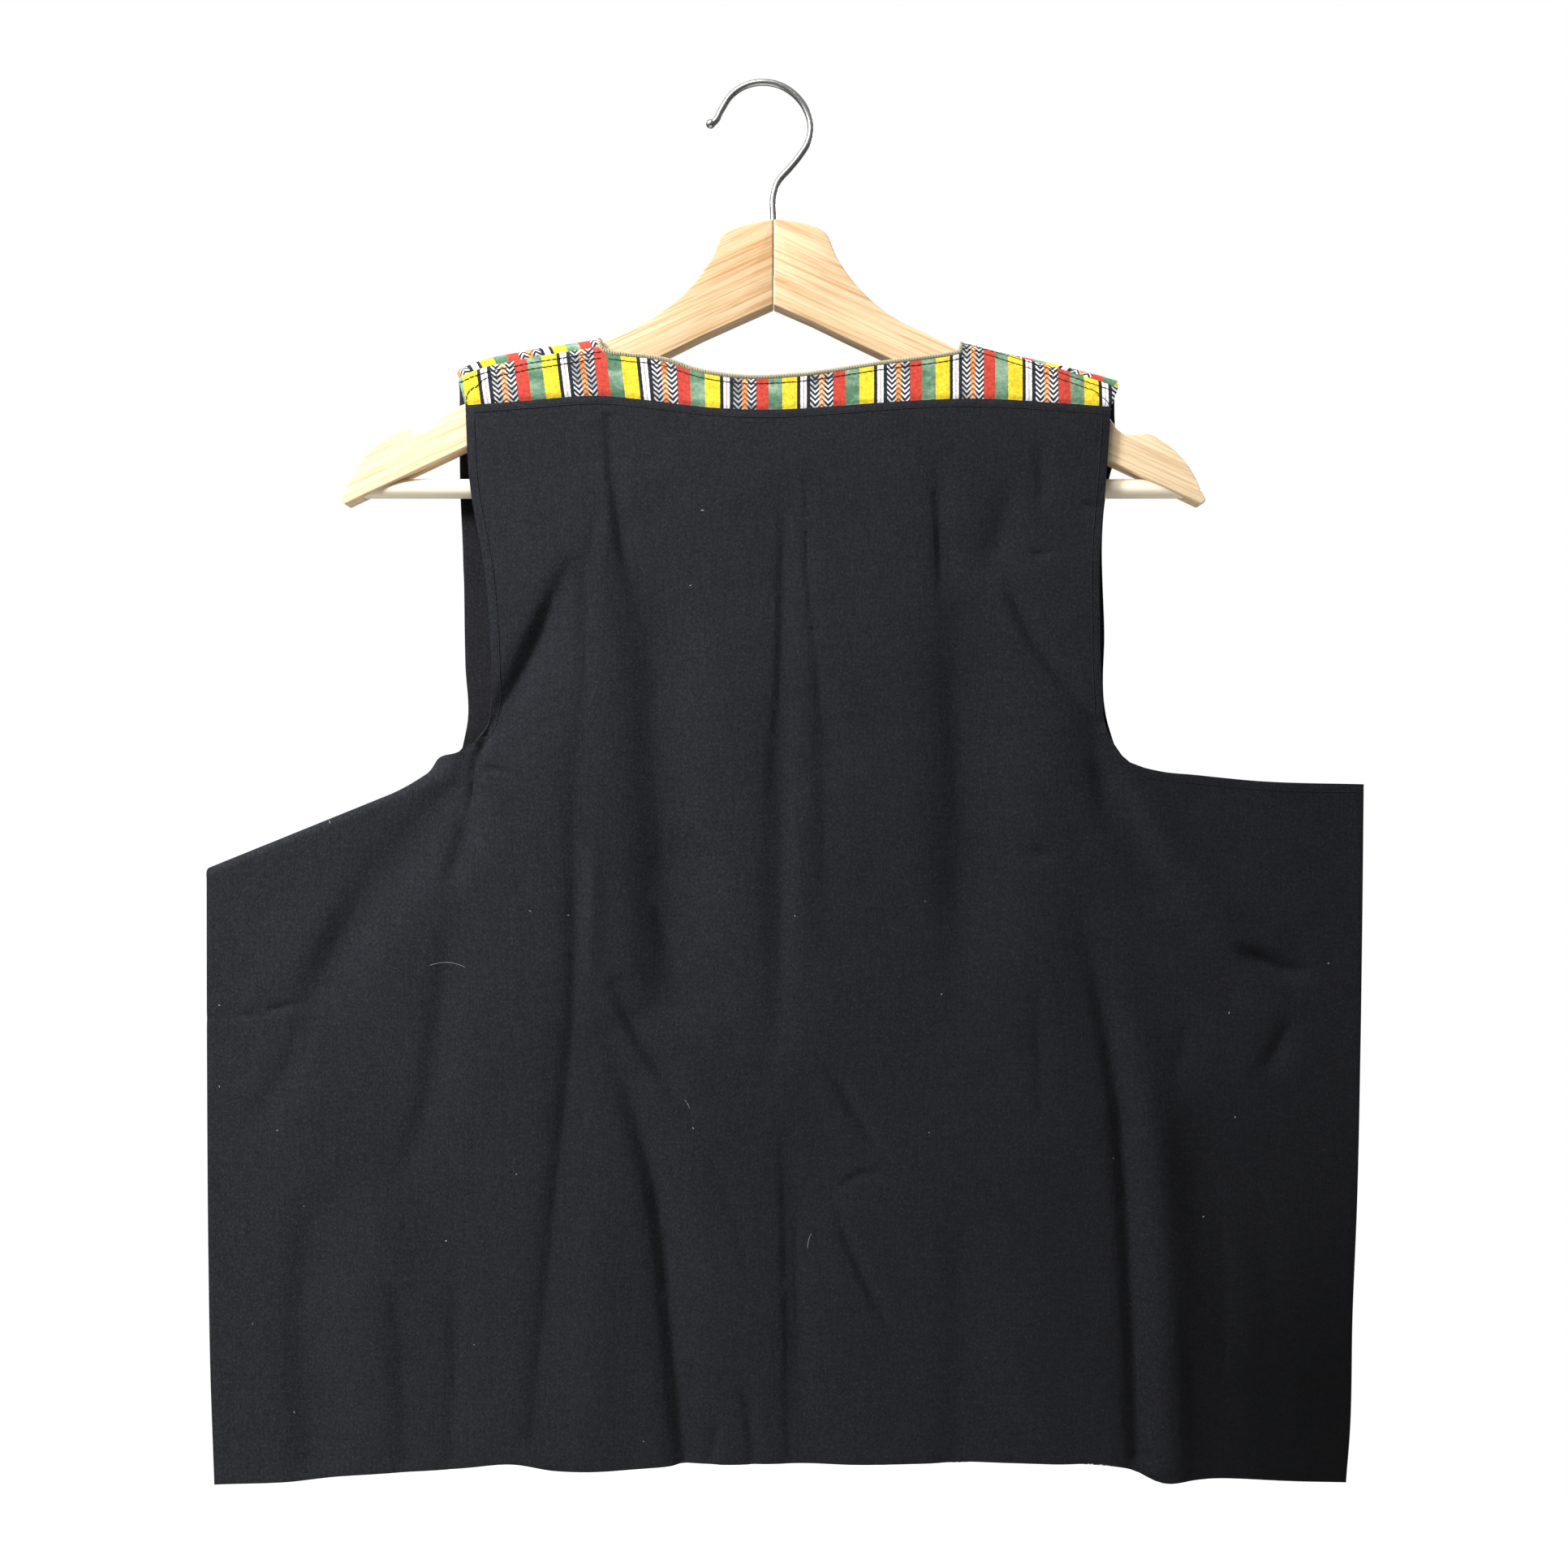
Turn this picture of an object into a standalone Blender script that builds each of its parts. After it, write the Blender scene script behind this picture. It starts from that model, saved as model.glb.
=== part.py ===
"""Striped folk vest hanging from a wooden trouser hanger.

Lengths in the tables are millimetres. The origin is the inside top of the hook,
+Z is up and the back of the vest faces -Y. Every cloth panel is drawn flat on a
plan: x across, and h, the height it would have if the cloth went straight up
past the shoulder crest. place() hangs the plan over the shoulders, spreads back
and front, presses in the folds and turns down one corner.
"""

import math

import bmesh
import bpy
import numpy as np

MM = 0.001
NAME = "folk_vest_on_hanger"
BACK = -1
FRONT = 1

SEAM_GAP = 0.3
BACK_WALL = 1.2
FRONT_WALL = 1.0
LINING_WALL = 1.0
BRAID_RADIUS = 1.2
BRAID_REACH = 1.6

CENTRE_X = 10.5
FRONT_EDGE = 5.0

# Shoulder crest, middle of the cloth
CREST = (
    ("x", "z"),
    (-160.0, -150.6),
    (-157.0, -148.7),
    (-149.0, -144.9),
    (-141.0, -142.4),
    (-118.0, -137.8),
    (-95.0, -134.4),
    (-85.5, -132.7),
    (105.0, -134.8),
    (123.0, -139.4),
    (148.0, -144.9),
    (173.0, -151.2),
    (186.0, -155.2),
)
CREST_HALF = 9.5
CREST_POWER = 3.0
SHOULDER_SEAM_FALL = 5.6

# Neck edge of the back, below the braid, from shoulder seam to shoulder seam
NECK = (
    ("x", "z"),
    (-84.2, -138.3),
    (-82.2, -140.4),
    (-78.0, -141.8),
    (-60.0, -143.7),
    (-48.0, -146.0),
    (-36.5, -150.0),
    (-19.5, -153.3),
    (16.5, -153.3),
    (37.0, -150.8),
    (61.5, -147.1),
    (85.5, -144.1),
    (98.0, -142.2),
    (102.0, -141.2),
    (103.8, -139.9),
)
# The neck point of the front: on the crest and at the shoulder seam
NECK_POINTS = (
    ("side", "crest_x", "seam_x"),
    (-1, -85.4, -84.2),
    (1, 104.8, 103.8),
)

YOKE_SEAM = (
    ("x", "z"),
    (-152.4, -167.8),
    (-122.0, -165.4),
    (-82.0, -162.9),
    (-60.0, -164.9),
    (-31.0, -168.5),
    (-2.0, -169.9),
    (37.0, -168.1),
    (73.0, -165.6),
    (110.0, -164.3),
    (147.0, -166.2),
    (178.5, -168.6),
)
SHOULDER_TIP_LEFT_X = -156.2
SHOULDER_TIP_RIGHT_X = 182.2

BACK_ARMHOLE_LEFT = (
    ("x", "z"),
    (-152.4, -167.8),
    (-150.4, -206.0),
    (-141.7, -259.0),
    (-139.2, -300.0),
    (-139.4, -318.0),
    (-142.0, -332.0),
    (-148.5, -340.5),
)
BACK_ARMHOLE_RIGHT = (
    ("x", "z"),
    (178.5, -168.6),
    (176.0, -206.0),
    (172.6, -251.0),
    (172.8, -275.0),
    (174.5, -318.0),
    (176.3, -332.0),
    (181.0, -341.5),
)
FRONT_ARMHOLE_LEFT = (
    ("x", "z"),
    (-158.6, -163.0),
    (-157.0, -213.0),
    (-155.5, -300.0),
    (-154.0, -330.0),
    (-156.5, -343.0),
)
FRONT_ARMHOLE_RIGHT = (
    ("x", "z"),
    (183.6, -165.0),
    (183.4, -192.0),
    (180.4, -204.0),
    (178.2, -285.0),
    (179.2, -328.0),
    (184.0, -344.0),
)

# Half width of the front neck opening at each height
FRONT_NECK = (
    ("half", "z"),
    (94.0, -152.0),
    (84.0, -172.0),
    (60.0, -214.0),
    (35.0, -258.0),
    (16.0, -294.0),
    (7.5, -312.0),
    (FRONT_EDGE, -325.0),
    (FRONT_EDGE, -341.0),
)

# Top of each wing, from the underarm corner to the side seam, before any corner is turned down
WING_TOP_LEFT = (
    ("x", "z"),
    (-148.5, -340.5),
    (-157.0, -345.6),
    (-166.0, -350.0),
    (-180.0, -354.5),
    (-210.0, -358.0),
    (-286.2, -362.3),
)
WING_TOP_RIGHT = (
    ("x", "z"),
    (181.0, -341.5),
    (186.0, -348.5),
    (193.0, -352.3),
    (204.0, -355.2),
    (223.0, -357.2),
    (256.0, -360.4),
    (310.5, -362.0),
)
# Line that the left wing's corner is turned down along
TURN = (
    ("x", "z"),
    (-148.5, -340.5),
    (-157.0, -350.5),
    (-170.0, -361.5),
    (-186.0, -369.3),
    (-237.0, -390.0),
    (-287.5, -410.4),
)
TURN_FROM = (-186.0, -369.3)
TURN_TO = (-287.5, -410.4)
TURN_STARTS_X = -156.0
TURN_WHOLE_X = -194.0
TURN_INNER_RADIUS = 1.25
TURN_ARC = 3.0
LYING_REACH = 22.0
LYING_EASE = 40.0

SIDE_LEFT = (
    ("x", "z"),
    (-287.5, -410.4),
    (-287.3, -502.0),
    (-286.6, -605.0),
    (-285.6, -664.0),
    (-283.5, -724.0),
)
SIDE_RIGHT = (
    ("x", "z"),
    (310.5, -362.0),
    (309.7, -438.0),
    (308.8, -502.0),
    (307.4, -575.0),
    (305.0, -635.0),
    (303.4, -700.0),
    (301.5, -720.5),
)

BACK_HEM = (
    ("x", "z"),
    (-283.5, -724.0),
    (-247.0, -719.2),
    (-221.0, -715.9),
    (-160.0, -712.5),
    (-122.0, -710.6),
    (-105.0, -713.6),
    (-81.0, -713.8),
    (-52.0, -711.0),
    (-11.0, -709.6),
    (60.0, -710.7),
    (170.0, -710.6),
    (190.0, -714.5),
    (206.0, -720.0),
    (222.0, -717.8),
    (270.0, -718.3),
    (301.5, -720.5),
)
FRONT_HEM_LEFT = (
    ("x", "z"),
    (-283.5, -724.0),
    (-247.0, -720.0),
    (-200.0, -717.0),
    (-120.0, -714.5),
    (CENTRE_X - FRONT_EDGE, -714.0),
)
FRONT_HEM_RIGHT = (
    ("x", "z"),
    (CENTRE_X + FRONT_EDGE, -714.5),
    (60.0, -716.5),
    (120.0, -717.4),
    (170.0, -717.8),
    (206.0, -722.4),
    (240.0, -720.0),
    (301.5, -720.5),
)

# How far each layer stands from the middle: at a seam, in a wing, over the hanger
SPREAD = (
    ("layer", "seam", "wing", "body"),
    (BACK, 2.0, 2.6, 4.9),
    (FRONT, 0.95, 2.6, 5.9),
)
BODY_HALF = 120.0
WING_STARTS = 195.0
CHEST_HEIGHT = (-345.0, -300.0)
SIDE_LEFT_X = -287.0
SIDE_RIGHT_X = 310.0
SEAM_SOFT = 60.0
HEM_CLOSES = 0.25
HEM_CLOSING_DEPTH = (350.0, 715.0)
FOLDS_BEGIN = (10.0, 45.0)
FOLD_FADE = 0.4

# Deep folds: a positive depth moves the cloth to +Y
FOLDS = (
    ("layer", "depth", "width", "start", "end", "path"),
    (0, 6.0, 15, 0.2, 1, ((146, -401), (163, -420), (172, -462), (182, -516), (190, -610), (191, -709))),
    (0, -6.5, 16, 0.0, 1, ((182, -440), (191, -501), (203, -565), (207, -709))),
    (0, 4.0, 11, 0.0, 1, ((213, -600), (220, -713))),
    (0, 4.5, 15, 0.3, 0, ((180, -352), (192, -397), (213, -430), (246, -455), (283, -459))),
    (0, 4.0, 16, 0.3, 0, ((-164, -372), (-191, -397), (-212, -430), (-225, -468), (-250, -501))),
    (0, 4.0, 17, 0.0, 1, ((-224, -575), (-231, -642), (-237, -709))),
    (0, -3.0, 20, 0.0, 1, ((-190, -540), (-196, -640), (-196, -709))),
    (0, -3.5, 22, 0.0, 1, ((262, -520), (268, -620), (268, -709))),
    (BACK, 3.5, 13, 0.0, 0, ((-92, -240), (-116, -276), (-134, -312))),
    (BACK, 3.8, 17, 0.0, 1, ((-94, -270), (-99, -480), (-104, -563), (-118, -709))),
    (BACK, 4.2, 14, 0.0, 1, ((-80, -500), (-69, -530), (-58, -572), (-48, -634), (-42, -709))),
    (BACK, -3.0, 15, 0.0, 1, ((-78, -560), (-76, -640), (-80, -709))),
    (BACK, 2.8, 15, 0.0, 0, ((94, -270), (98, -376), (94, -451))),
    (BACK, 2.8, 18, 0.0, 1, ((98, -560), (95, -640), (94, -709))),
    (BACK, 2.2, 14, 0.0, 1, ((14, -500), (14, -600), (14, -709))),
    (FRONT, -3.5, 18, 0.0, 1, ((-60, -380), (-78, -520), (-70, -712))),
    (FRONT, 3.0, 20, 0.0, 1, ((-112, -400), (-118, -560), (-112, -712))),
    (FRONT, -3.5, 18, 0.0, 1, ((92, -360), (104, -500), (96, -712))),
    (FRONT, 3.0, 20, 0.0, 1, ((60, -430), (58, -560), (52, -712))),
    (FRONT, -3.0, 14, 0.0, 0, ((-72, -240), (-104, -290), (-140, -325))),
    (FRONT, -3.0, 14, 0.0, 0, ((96, -238), (128, -292), (164, -326))),
)

# Where the panels' faces join: closer together at folds and at the turned corner
WING_LEFT_X = (-148.5, -157, -165, -171, -177, -183, -189, -197, -212, -236, -262, -287.5)
CHEST_X = (
    *(-148.5, -130, -116, -103, -91, -79, -67, -55, -43, -26, -6),
    *(14, 36, 58, 78, 92, 107, 126, 146, 159, 170, 181),
)
WING_RIGHT_X = (181, 191, 200, 209, 219, 233, 252, 272, 291, 310.5)
FRONT_LEFT_WING_X = (-156.5, -165, -171, -177, -183, -189, -197, -212, -236, -262, -287.5)
FRONT_RIGHT_WING_X = (184, 193, 203, 212, 224, 244, 266, 288, 310.5)
FRONT_COLUMNS = 7
ROWS_BODY = 18
ROWS_FRONT_BODY = 14
CHEST_ROWS = (0, 0.11, 0.24, 0.37, 0.5, 0.62, 0.73, 0.82, 0.88, 0.92, 0.96, 1)
FRONT_CHEST_ROWS = (0, 0.13, 0.27, 0.41, 0.55, 0.69, 0.81, 0.89, 0.95, 1)
CREST_ROWS = (0, 5.4, 10.4, 13.6, 16.0, 18.6, 24.0)
TURN_STEPS = 4
TURN_LYING_STEPS = 2
ROLL_SHARE = (0.35, 0.8)
JOIN = 0.01
YOKE_NECK_COLUMNS = 12
YOKE_ROWS = 4
BRAID_EVERY = 16.0

# Hanger
ARM_THICKNESS = 13.0
ARM_ROUND = 2.2
ARM_ROUND_STEPS = 2
ARM_ROUNDED_ABOVE = math.radians(60)
ARM_SHARP = math.radians(35)
ARM_STEPS = 16
HANGER_X = 5.5
ARM_TOP_LEFT = (
    ("x", "z"),
    (HANGER_X, -71.1),
    (-10.0, -74.3),
    (-19.8, -78.5),
    (-27.0, -92.0),
    (-39.0, -107.8),
    (-58.5, -122.8),
    (-82.5, -134.7),
    (-155.0, -166.9),
)
ARM_TOP_RIGHT = (
    ("x", "z"),
    (HANGER_X, -71.1),
    (20.0, -72.9),
    (31.5, -77.6),
    (38.5, -91.5),
    (46.4, -103.0),
    (63.5, -119.2),
    (88.0, -132.0),
    (178.0, -172.8),
)
ARM_END_LEFT = (
    ("x", "z"),
    (-164.6, -171.4),
    (-167.8, -174.6),
    (-170.6, -178.4),
    (-175.0, -180.8),
    (-179.0, -180.8),
    (-183.4, -179.5),
    (-193.8, -183.5),
    (-204.7, -192.7),
    (-213.0, -205.2),
    (-216.7, -215.5),
    (-215.2, -218.2),
)
ARM_END_RIGHT = (
    ("x", "z"),
    (180.3, -176.0),
    (183.0, -179.7),
    (187.0, -181.9),
    (191.0, -181.9),
    (195.8, -181.2),
    (207.3, -186.4),
    (219.0, -197.9),
    (225.6, -210.7),
    (227.6, -216.2),
    (226.0, -218.0),
)
ARM_LOWER_LEFT = (
    ("x", "z"),
    (-153.3, -188.9),
    (-50.9, -141.3),
    (-31.0, -131.4),
    (-14.0, -123.8),
    (HANGER_X, -115.2),
)
ARM_LOWER_RIGHT = (
    ("x", "z"),
    (177.6, -195.2),
    (63.5, -142.1),
    (45.2, -133.4),
    (25.0, -123.6),
    (HANGER_X, -115.2),
)
BAR_RADIUS = 5.0
BAR_Z = -209.0
BAR_ENDS = (-208.0, 219.0)
HOOK_RADIUS = 1.7
HOOK_POINTS = (
    ("x", "z"),
    (HANGER_X, -98.0),
    (HANGER_X, -69.0),
    (5.6, -57.0),
    (8.0, -49.5),
    (13.4, -43.3),
    (19.3, -36.0),
    (23.5, -29.0),
    (24.8, -21.0),
    (22.3, -12.4),
    (17.2, -5.4),
    (9.0, 0.0),
    (0.0, 1.7),
    (-9.0, 0.0),
    (-16.5, -5.0),
    (-21.5, -12.6),
    (-25.0, -18.6),
    (-29.2, -20.8),
)
HOOK_STEPS = 36
HOOK_TIP = 0.55
HOOK_BORE_TOP = -60.0
BORE_CLEARANCE = 0.3
ROUND_SIDES = 20


def columns(table):
    """The rows of a table under its heading, as numbers."""
    return np.array(table[1:], float)


def soft_step(value, low, high):
    t = np.clip((value - low) / (high - low), 0.0, 1.0)
    return t * t * (3.0 - 2.0 * t)


def smooth_between(knots, points, at):
    """A smooth curve through points that are given at rising knots."""
    spans = np.diff(knots)
    slopes = np.gradient(points, knots, axis=0)
    i = np.clip(np.searchsorted(knots, at, side="right") - 1, 0, len(spans) - 1)
    span = spans[i][:, None]
    t = ((at - knots[i]) / spans[i])[:, None]
    start = points[i] * (1 + 2 * t) * (1 - t) ** 2 + slopes[i] * span * t * (1 - t) ** 2
    end = points[i + 1] * t * t * (3 - 2 * t) - slopes[i + 1] * span * t * t * (1 - t)
    return start + end


def follow(points, fractions):
    """Points at these fractions of the length of a smooth curve through the given points."""
    points = np.asarray(points, float)
    steps = np.linalg.norm(np.diff(points, axis=0), axis=1)
    knots = np.concatenate([[0.0], np.cumsum(steps)])
    return smooth_between(knots, points, np.asarray(fractions, float) * knots[-1])


def at_x(table, x):
    """Points of an outline that runs across, at each x."""
    rows = columns(table)
    rows = rows[np.argsort(rows[:, 0])]
    return smooth_between(rows[:, 0], rows, np.asarray(x, float))


def even(count):
    return np.linspace(0.0, 1.0, count + 1)


def crest_shape():
    """Length along the cloth from the crest, with how far it falls and how far out it goes."""
    angle = np.linspace(0.0, math.pi / 2, 200)
    out = CREST_HALF * np.sin(angle) ** (2 / CREST_POWER)
    fall = CREST_HALF * (1 - np.cos(angle) ** (2 / CREST_POWER))
    length = np.concatenate([[0.0], np.cumsum(np.hypot(np.diff(out), np.diff(fall)))])
    return length, fall, out / CREST_HALF


CREST_LENGTH, CREST_FALL, CREST_OUT = crest_shape()
CREST_EXTRA = CREST_LENGTH[-1] - CREST_HALF


def crest_z(x):
    rows = columns(CREST)
    return np.interp(x, rows[:, 0], rows[:, 1])


def fall_of(length):
    past = np.maximum(length - CREST_LENGTH[-1], 0.0)
    return np.interp(length, CREST_LENGTH, CREST_FALL) + past


def length_of(fall):
    past = np.maximum(fall - CREST_HALF, 0.0)
    return np.interp(fall, CREST_FALL, CREST_LENGTH) + past


def plan_height(x, z):
    """Plan height of a place on the cloth's own side of the crest."""
    return crest_z(x) + CREST_EXTRA - length_of(crest_z(x) - z)


def on_plan(points):
    """(x, z) points of an outline as (x, h) points of the plan."""
    points = np.asarray(points, float)
    return np.column_stack([points[:, 0], plan_height(points[:, 0], points[:, 1])])


def turn_frame():
    start = np.array(TURN_FROM)
    along = np.array(TURN_TO) - start
    along /= np.linalg.norm(along)
    return start, np.array([along[1], -along[0]])


def past_turn(x, z):
    """How far a place lies past the line that the corner is turned down along."""
    start, across = turn_frame()
    return (x - start[0]) * across[0] + (z - start[1]) * across[1]


def turned_share(x):
    return soft_step(-x, -TURN_STARTS_X, -TURN_WHOLE_X)


def looseness(x, z):
    """0 where back and front lie together, at the side seams and the turned corner, else up to 1."""
    left = soft_step(x, SIDE_LEFT_X, SIDE_LEFT_X + SEAM_SOFT)
    right = soft_step(-x, -SIDE_RIGHT_X, SEAM_SOFT - SIDE_RIGHT_X)
    corner = soft_step(-past_turn(x, z), LYING_REACH, LYING_REACH + LYING_EASE)
    share = turned_share(x)
    return left * right * (1.0 - share + share * corner)


def body_share(x, z):
    """1 over the hanger, falling to 0 in the wings, and a little less at the hem."""
    body = 1.0 - soft_step(np.abs(x - CENTRE_X), BODY_HALF, WING_STARTS)
    chest = soft_step(z, *CHEST_HEIGHT)
    closing = 1.0 - HEM_CLOSES * soft_step(-z, *HEM_CLOSING_DEPTH)
    return (body + (1.0 - body) * chest) * closing


def spread(layer, x, z):
    for side, seam, wing, body in SPREAD[1:]:
        if side == layer:
            return seam + looseness(x, z) * (wing + body * body_share(x, z))
    raise ValueError(layer)


def one_fold(x, z, width, start, end, path):
    """1 along a fold's path, fading beside it and towards the ends that are given as 0."""
    path = np.asarray(path, float)
    steps = np.linalg.norm(np.diff(path, axis=0), axis=1)
    knots = np.concatenate([[0.0], np.cumsum(steps)]) / steps.sum()
    nearest = np.full(np.shape(x), np.inf)
    along = np.zeros(np.shape(x))
    for i, step in enumerate(steps):
        ahead = (path[i + 1] - path[i]) / step
        t = np.clip(((x - path[i, 0]) * ahead[0] + (z - path[i, 1]) * ahead[1]) / step, 0.0, 1.0)
        foot_x = path[i, 0] + t * step * ahead[0]
        foot_z = path[i, 1] + t * step * ahead[1]
        distance = np.hypot(x - foot_x, z - foot_z)
        closer = distance < nearest
        along = np.where(closer, knots[i] + t * (knots[i + 1] - knots[i]), along)
        nearest = np.where(closer, distance, nearest)
    first = start + (1 - start) * soft_step(along, 0.0, FOLD_FADE)
    last = end + (1 - end) * soft_step(-along, -1.0, FOLD_FADE - 1.0)
    return np.exp(-((nearest / width) ** 2)) * first * last


def folds(layer, x, z):
    loose = looseness(x, z)
    own = body_share(x, z)
    total = np.zeros(np.shape(x))
    for side, depth, width, start, end, path in FOLDS[1:]:
        if side == 0:
            total += depth * loose * one_fold(x, z, width, start, end, path)
        elif side == layer:
            total += depth * loose * own * one_fold(x, z, width, start, end, path)
    return total


def place(layer, plan):
    """Hangs plan points (x, h) of the back or the front, and returns (x, y, z) points."""
    x = plan[..., 0]
    crest = crest_z(x)
    past_crest = crest + CREST_EXTRA - plan[..., 1]
    length = np.abs(past_crest)
    z = crest - fall_of(length)
    out = np.interp(length, CREST_LENGTH, CREST_OUT) * np.where(past_crest < 0, -1.0, 1.0)
    y = layer * spread(layer, x, z) * out + folds(layer, x, z) * soft_step(past_crest, *FOLDS_BEGIN)

    start, across = turn_frame()
    past = past_turn(x, z)
    angle_limit = math.pi * turned_share(x)
    angle = np.clip(past / TURN_ARC, 0.0, angle_limit)
    straight = np.maximum(past, 0.0) - angle * TURN_ARC
    pivot = spread(FRONT, x, z) + TURN_INNER_RADIUS
    radius = pivot - y
    rolled = past > 0
    out_of_line = radius * np.sin(angle) + straight * np.cos(angle)
    behind = pivot - radius * np.cos(angle) + straight * np.sin(angle)
    shift = np.where(rolled, out_of_line - past, 0.0)
    return np.stack(
        [x + shift * across[0], np.where(rolled, behind, y), z + shift * across[1]],
        axis=-1,
    )


def patch(top, bottom, left, right, across):
    """Plan points between four edges that share their corners; rows run from top to bottom."""
    across = across[None]
    down = np.linspace(0.0, 1.0, len(left))[:, None, None]
    ruled = (1 - down) * top[None] + down * bottom[None]
    sides = (1 - across) * left[:, None] + across * right[:, None]
    corners = (1 - down) * ((1 - across) * top[0] + across * top[-1]) + down * (
        (1 - across) * bottom[0] + across * bottom[-1]
    )
    return ruled + sides - corners


def turned_corner(turn, edge):
    """Plan points of the turned down corner, from the turn line to the wing's top edge."""
    first = past_turn(turn[:, 0], turn[:, 1])
    last = past_turn(edge[:, 0], edge[:, 1])
    reach = np.maximum(last - first, JOIN)
    roll = math.pi * turned_share(turn[:, 0]) * TURN_ARC - first
    roll = np.clip(roll / reach, *ROLL_SHARE)
    shares = [roll * step / TURN_STEPS for step in range(TURN_STEPS)]
    shares += [roll + (1 - roll) * step / TURN_LYING_STEPS for step in range(TURN_LYING_STEPS + 1)]
    return np.array([(1 - share[:, None]) * turn + share[:, None] * edge for share in shares])


def back_plans():
    left = on_plan(follow(columns(BACK_ARMHOLE_LEFT), CHEST_ROWS))
    right = on_plan(follow(columns(BACK_ARMHOLE_RIGHT), CHEST_ROWS))
    chest_x = np.array(CHEST_X, float)
    share = ((chest_x - chest_x[0]) / (chest_x[-1] - chest_x[0]))[:, None]
    seam_x = left[0, 0] + (right[0, 0] - left[0, 0]) * share[:, 0]
    chest_top = on_plan(at_x(YOKE_SEAM, seam_x))
    chest_top[:, 1] -= SEAM_GAP / 2
    left[0], right[0] = chest_top[0], chest_top[-1]
    join = (1 - share) * left[-1] + share * right[-1]
    chest = patch(chest_top, join, left, right, share)

    turn = at_x(TURN, WING_LEFT_X)[::-1]
    wing_left = at_x(WING_TOP_LEFT, WING_LEFT_X)[::-1]
    wing_right = at_x(WING_TOP_RIGHT, WING_RIGHT_X)
    turn[-1] = wing_left[-1] = join[0]
    wing_right[0] = join[-1]
    top = np.concatenate([turn, join[1:-1], wing_right])
    body = below(top, BACK_HEM, SIDE_LEFT, SIDE_RIGHT, ROWS_BODY)
    return [chest, body, turned_corner(turn, wing_left)]


def below(top, hem, side_left, side_right, rows):
    """The plan of a panel's body, from its top row down to the hem."""
    share = ((top[:, 0] - top[0, 0]) / (top[-1, 0] - top[0, 0]))[:, None]
    left = follow(columns(side_left), even(rows))
    right = follow(columns(side_right), even(rows))
    hem = at_x(hem, left[-1, 0] + (right[-1, 0] - left[-1, 0]) * share[:, 0])
    left[0], right[0] = top[0], top[-1]
    hem[0], hem[-1] = left[-1], right[-1]
    return patch(top, hem, left, right, share)


def neck_point(side):
    for row in NECK_POINTS[1:]:
        if row[0] == side:
            return row[1:]
    raise ValueError(side)


def over_crest(side, outer_x, inner_x):
    """Plan rows of a front from its shoulder seam, over the crest, to where its armhole starts."""
    tip = SHOULDER_TIP_LEFT_X if side < 0 else SHOULDER_TIP_RIGHT_X
    crest_neck, seam_neck = neck_point(side)
    start = length_of(SHOULDER_SEAM_FALL) - SEAM_GAP / 2
    inner_knots = (0.0, CREST_ROWS[1], CREST_ROWS[-3], CREST_ROWS[-1])
    across = even(FRONT_COLUMNS)
    strip = []
    for down in CREST_ROWS:
        outer = tip + (outer_x - tip) * down / CREST_ROWS[-1]
        inner = np.interp(down, inner_knots, (seam_neck, crest_neck, crest_neck, inner_x))
        x = outer + (inner - outer) * across
        strip.append(np.column_stack([x, crest_z(x) + CREST_EXTRA + start - down]))
    return np.array(strip)


def front_plans(side):
    """Plans of one front, from the shoulder seam to the hem: side is -1 at -X and 1 at +X."""
    left = side < 0
    armhole = columns(FRONT_ARMHOLE_LEFT if left else FRONT_ARMHOLE_RIGHT)
    opening = columns(FRONT_NECK)
    opening[:, 0] = CENTRE_X + side * opening[:, 0]
    strip = over_crest(side, armhole[0, 0], opening[0, 0])
    outer = on_plan(follow(armhole, FRONT_CHEST_ROWS))
    inner = on_plan(follow(opening, FRONT_CHEST_ROWS))
    outer[0], inner[0] = strip[-1, 0], strip[-1, -1]
    across = even(FRONT_COLUMNS)[:, None]
    join = (1 - across) * outer[-1] + across * inner[-1]
    chest = patch(strip[-1], join, outer, inner, across)

    edge_x = CENTRE_X + side * FRONT_EDGE
    hem = FRONT_HEM_LEFT if left else FRONT_HEM_RIGHT
    bottom = at_x(hem, [edge_x])[0]
    front_edge = (("x", "z"), tuple(join[-1]), tuple(bottom))
    if left:
        turn = at_x(TURN, FRONT_LEFT_WING_X)[::-1]
        edge = at_x(WING_TOP_LEFT, FRONT_LEFT_WING_X)[::-1]
        turn[-1] = edge[-1] = join[0]
        top = np.concatenate([turn, join[1:]])
        body = below(top, hem, SIDE_LEFT, front_edge, ROWS_FRONT_BODY)
        return [strip, chest, body, turned_corner(turn, edge)]
    edge = at_x(WING_TOP_RIGHT, FRONT_RIGHT_WING_X)
    edge[0] = join[0]
    top = np.concatenate([join[::-1], edge[1:]])
    body = below(top, hem, front_edge, SIDE_RIGHT, ROWS_FRONT_BODY)
    return [strip, chest, body[:, ::-1]]


def yoke_top(x):
    """Plan points of the yoke's upper edge: the shoulder seams and the neck edge between them."""
    neck = columns(NECK)
    seam = crest_z(x) + CREST_EXTRA - length_of(SHOULDER_SEAM_FALL) - SEAM_GAP / 2
    edge = on_plan(neck)
    edge[0, 1] = np.interp(neck[0, 0], x, seam)
    edge[-1, 1] = np.interp(neck[-1, 0], x, seam)
    inside = (x >= neck[0, 0]) & (x <= neck[-1, 0])
    return np.column_stack([x, np.where(inside, np.interp(x, edge[:, 0], edge[:, 1]), seam)])


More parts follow.
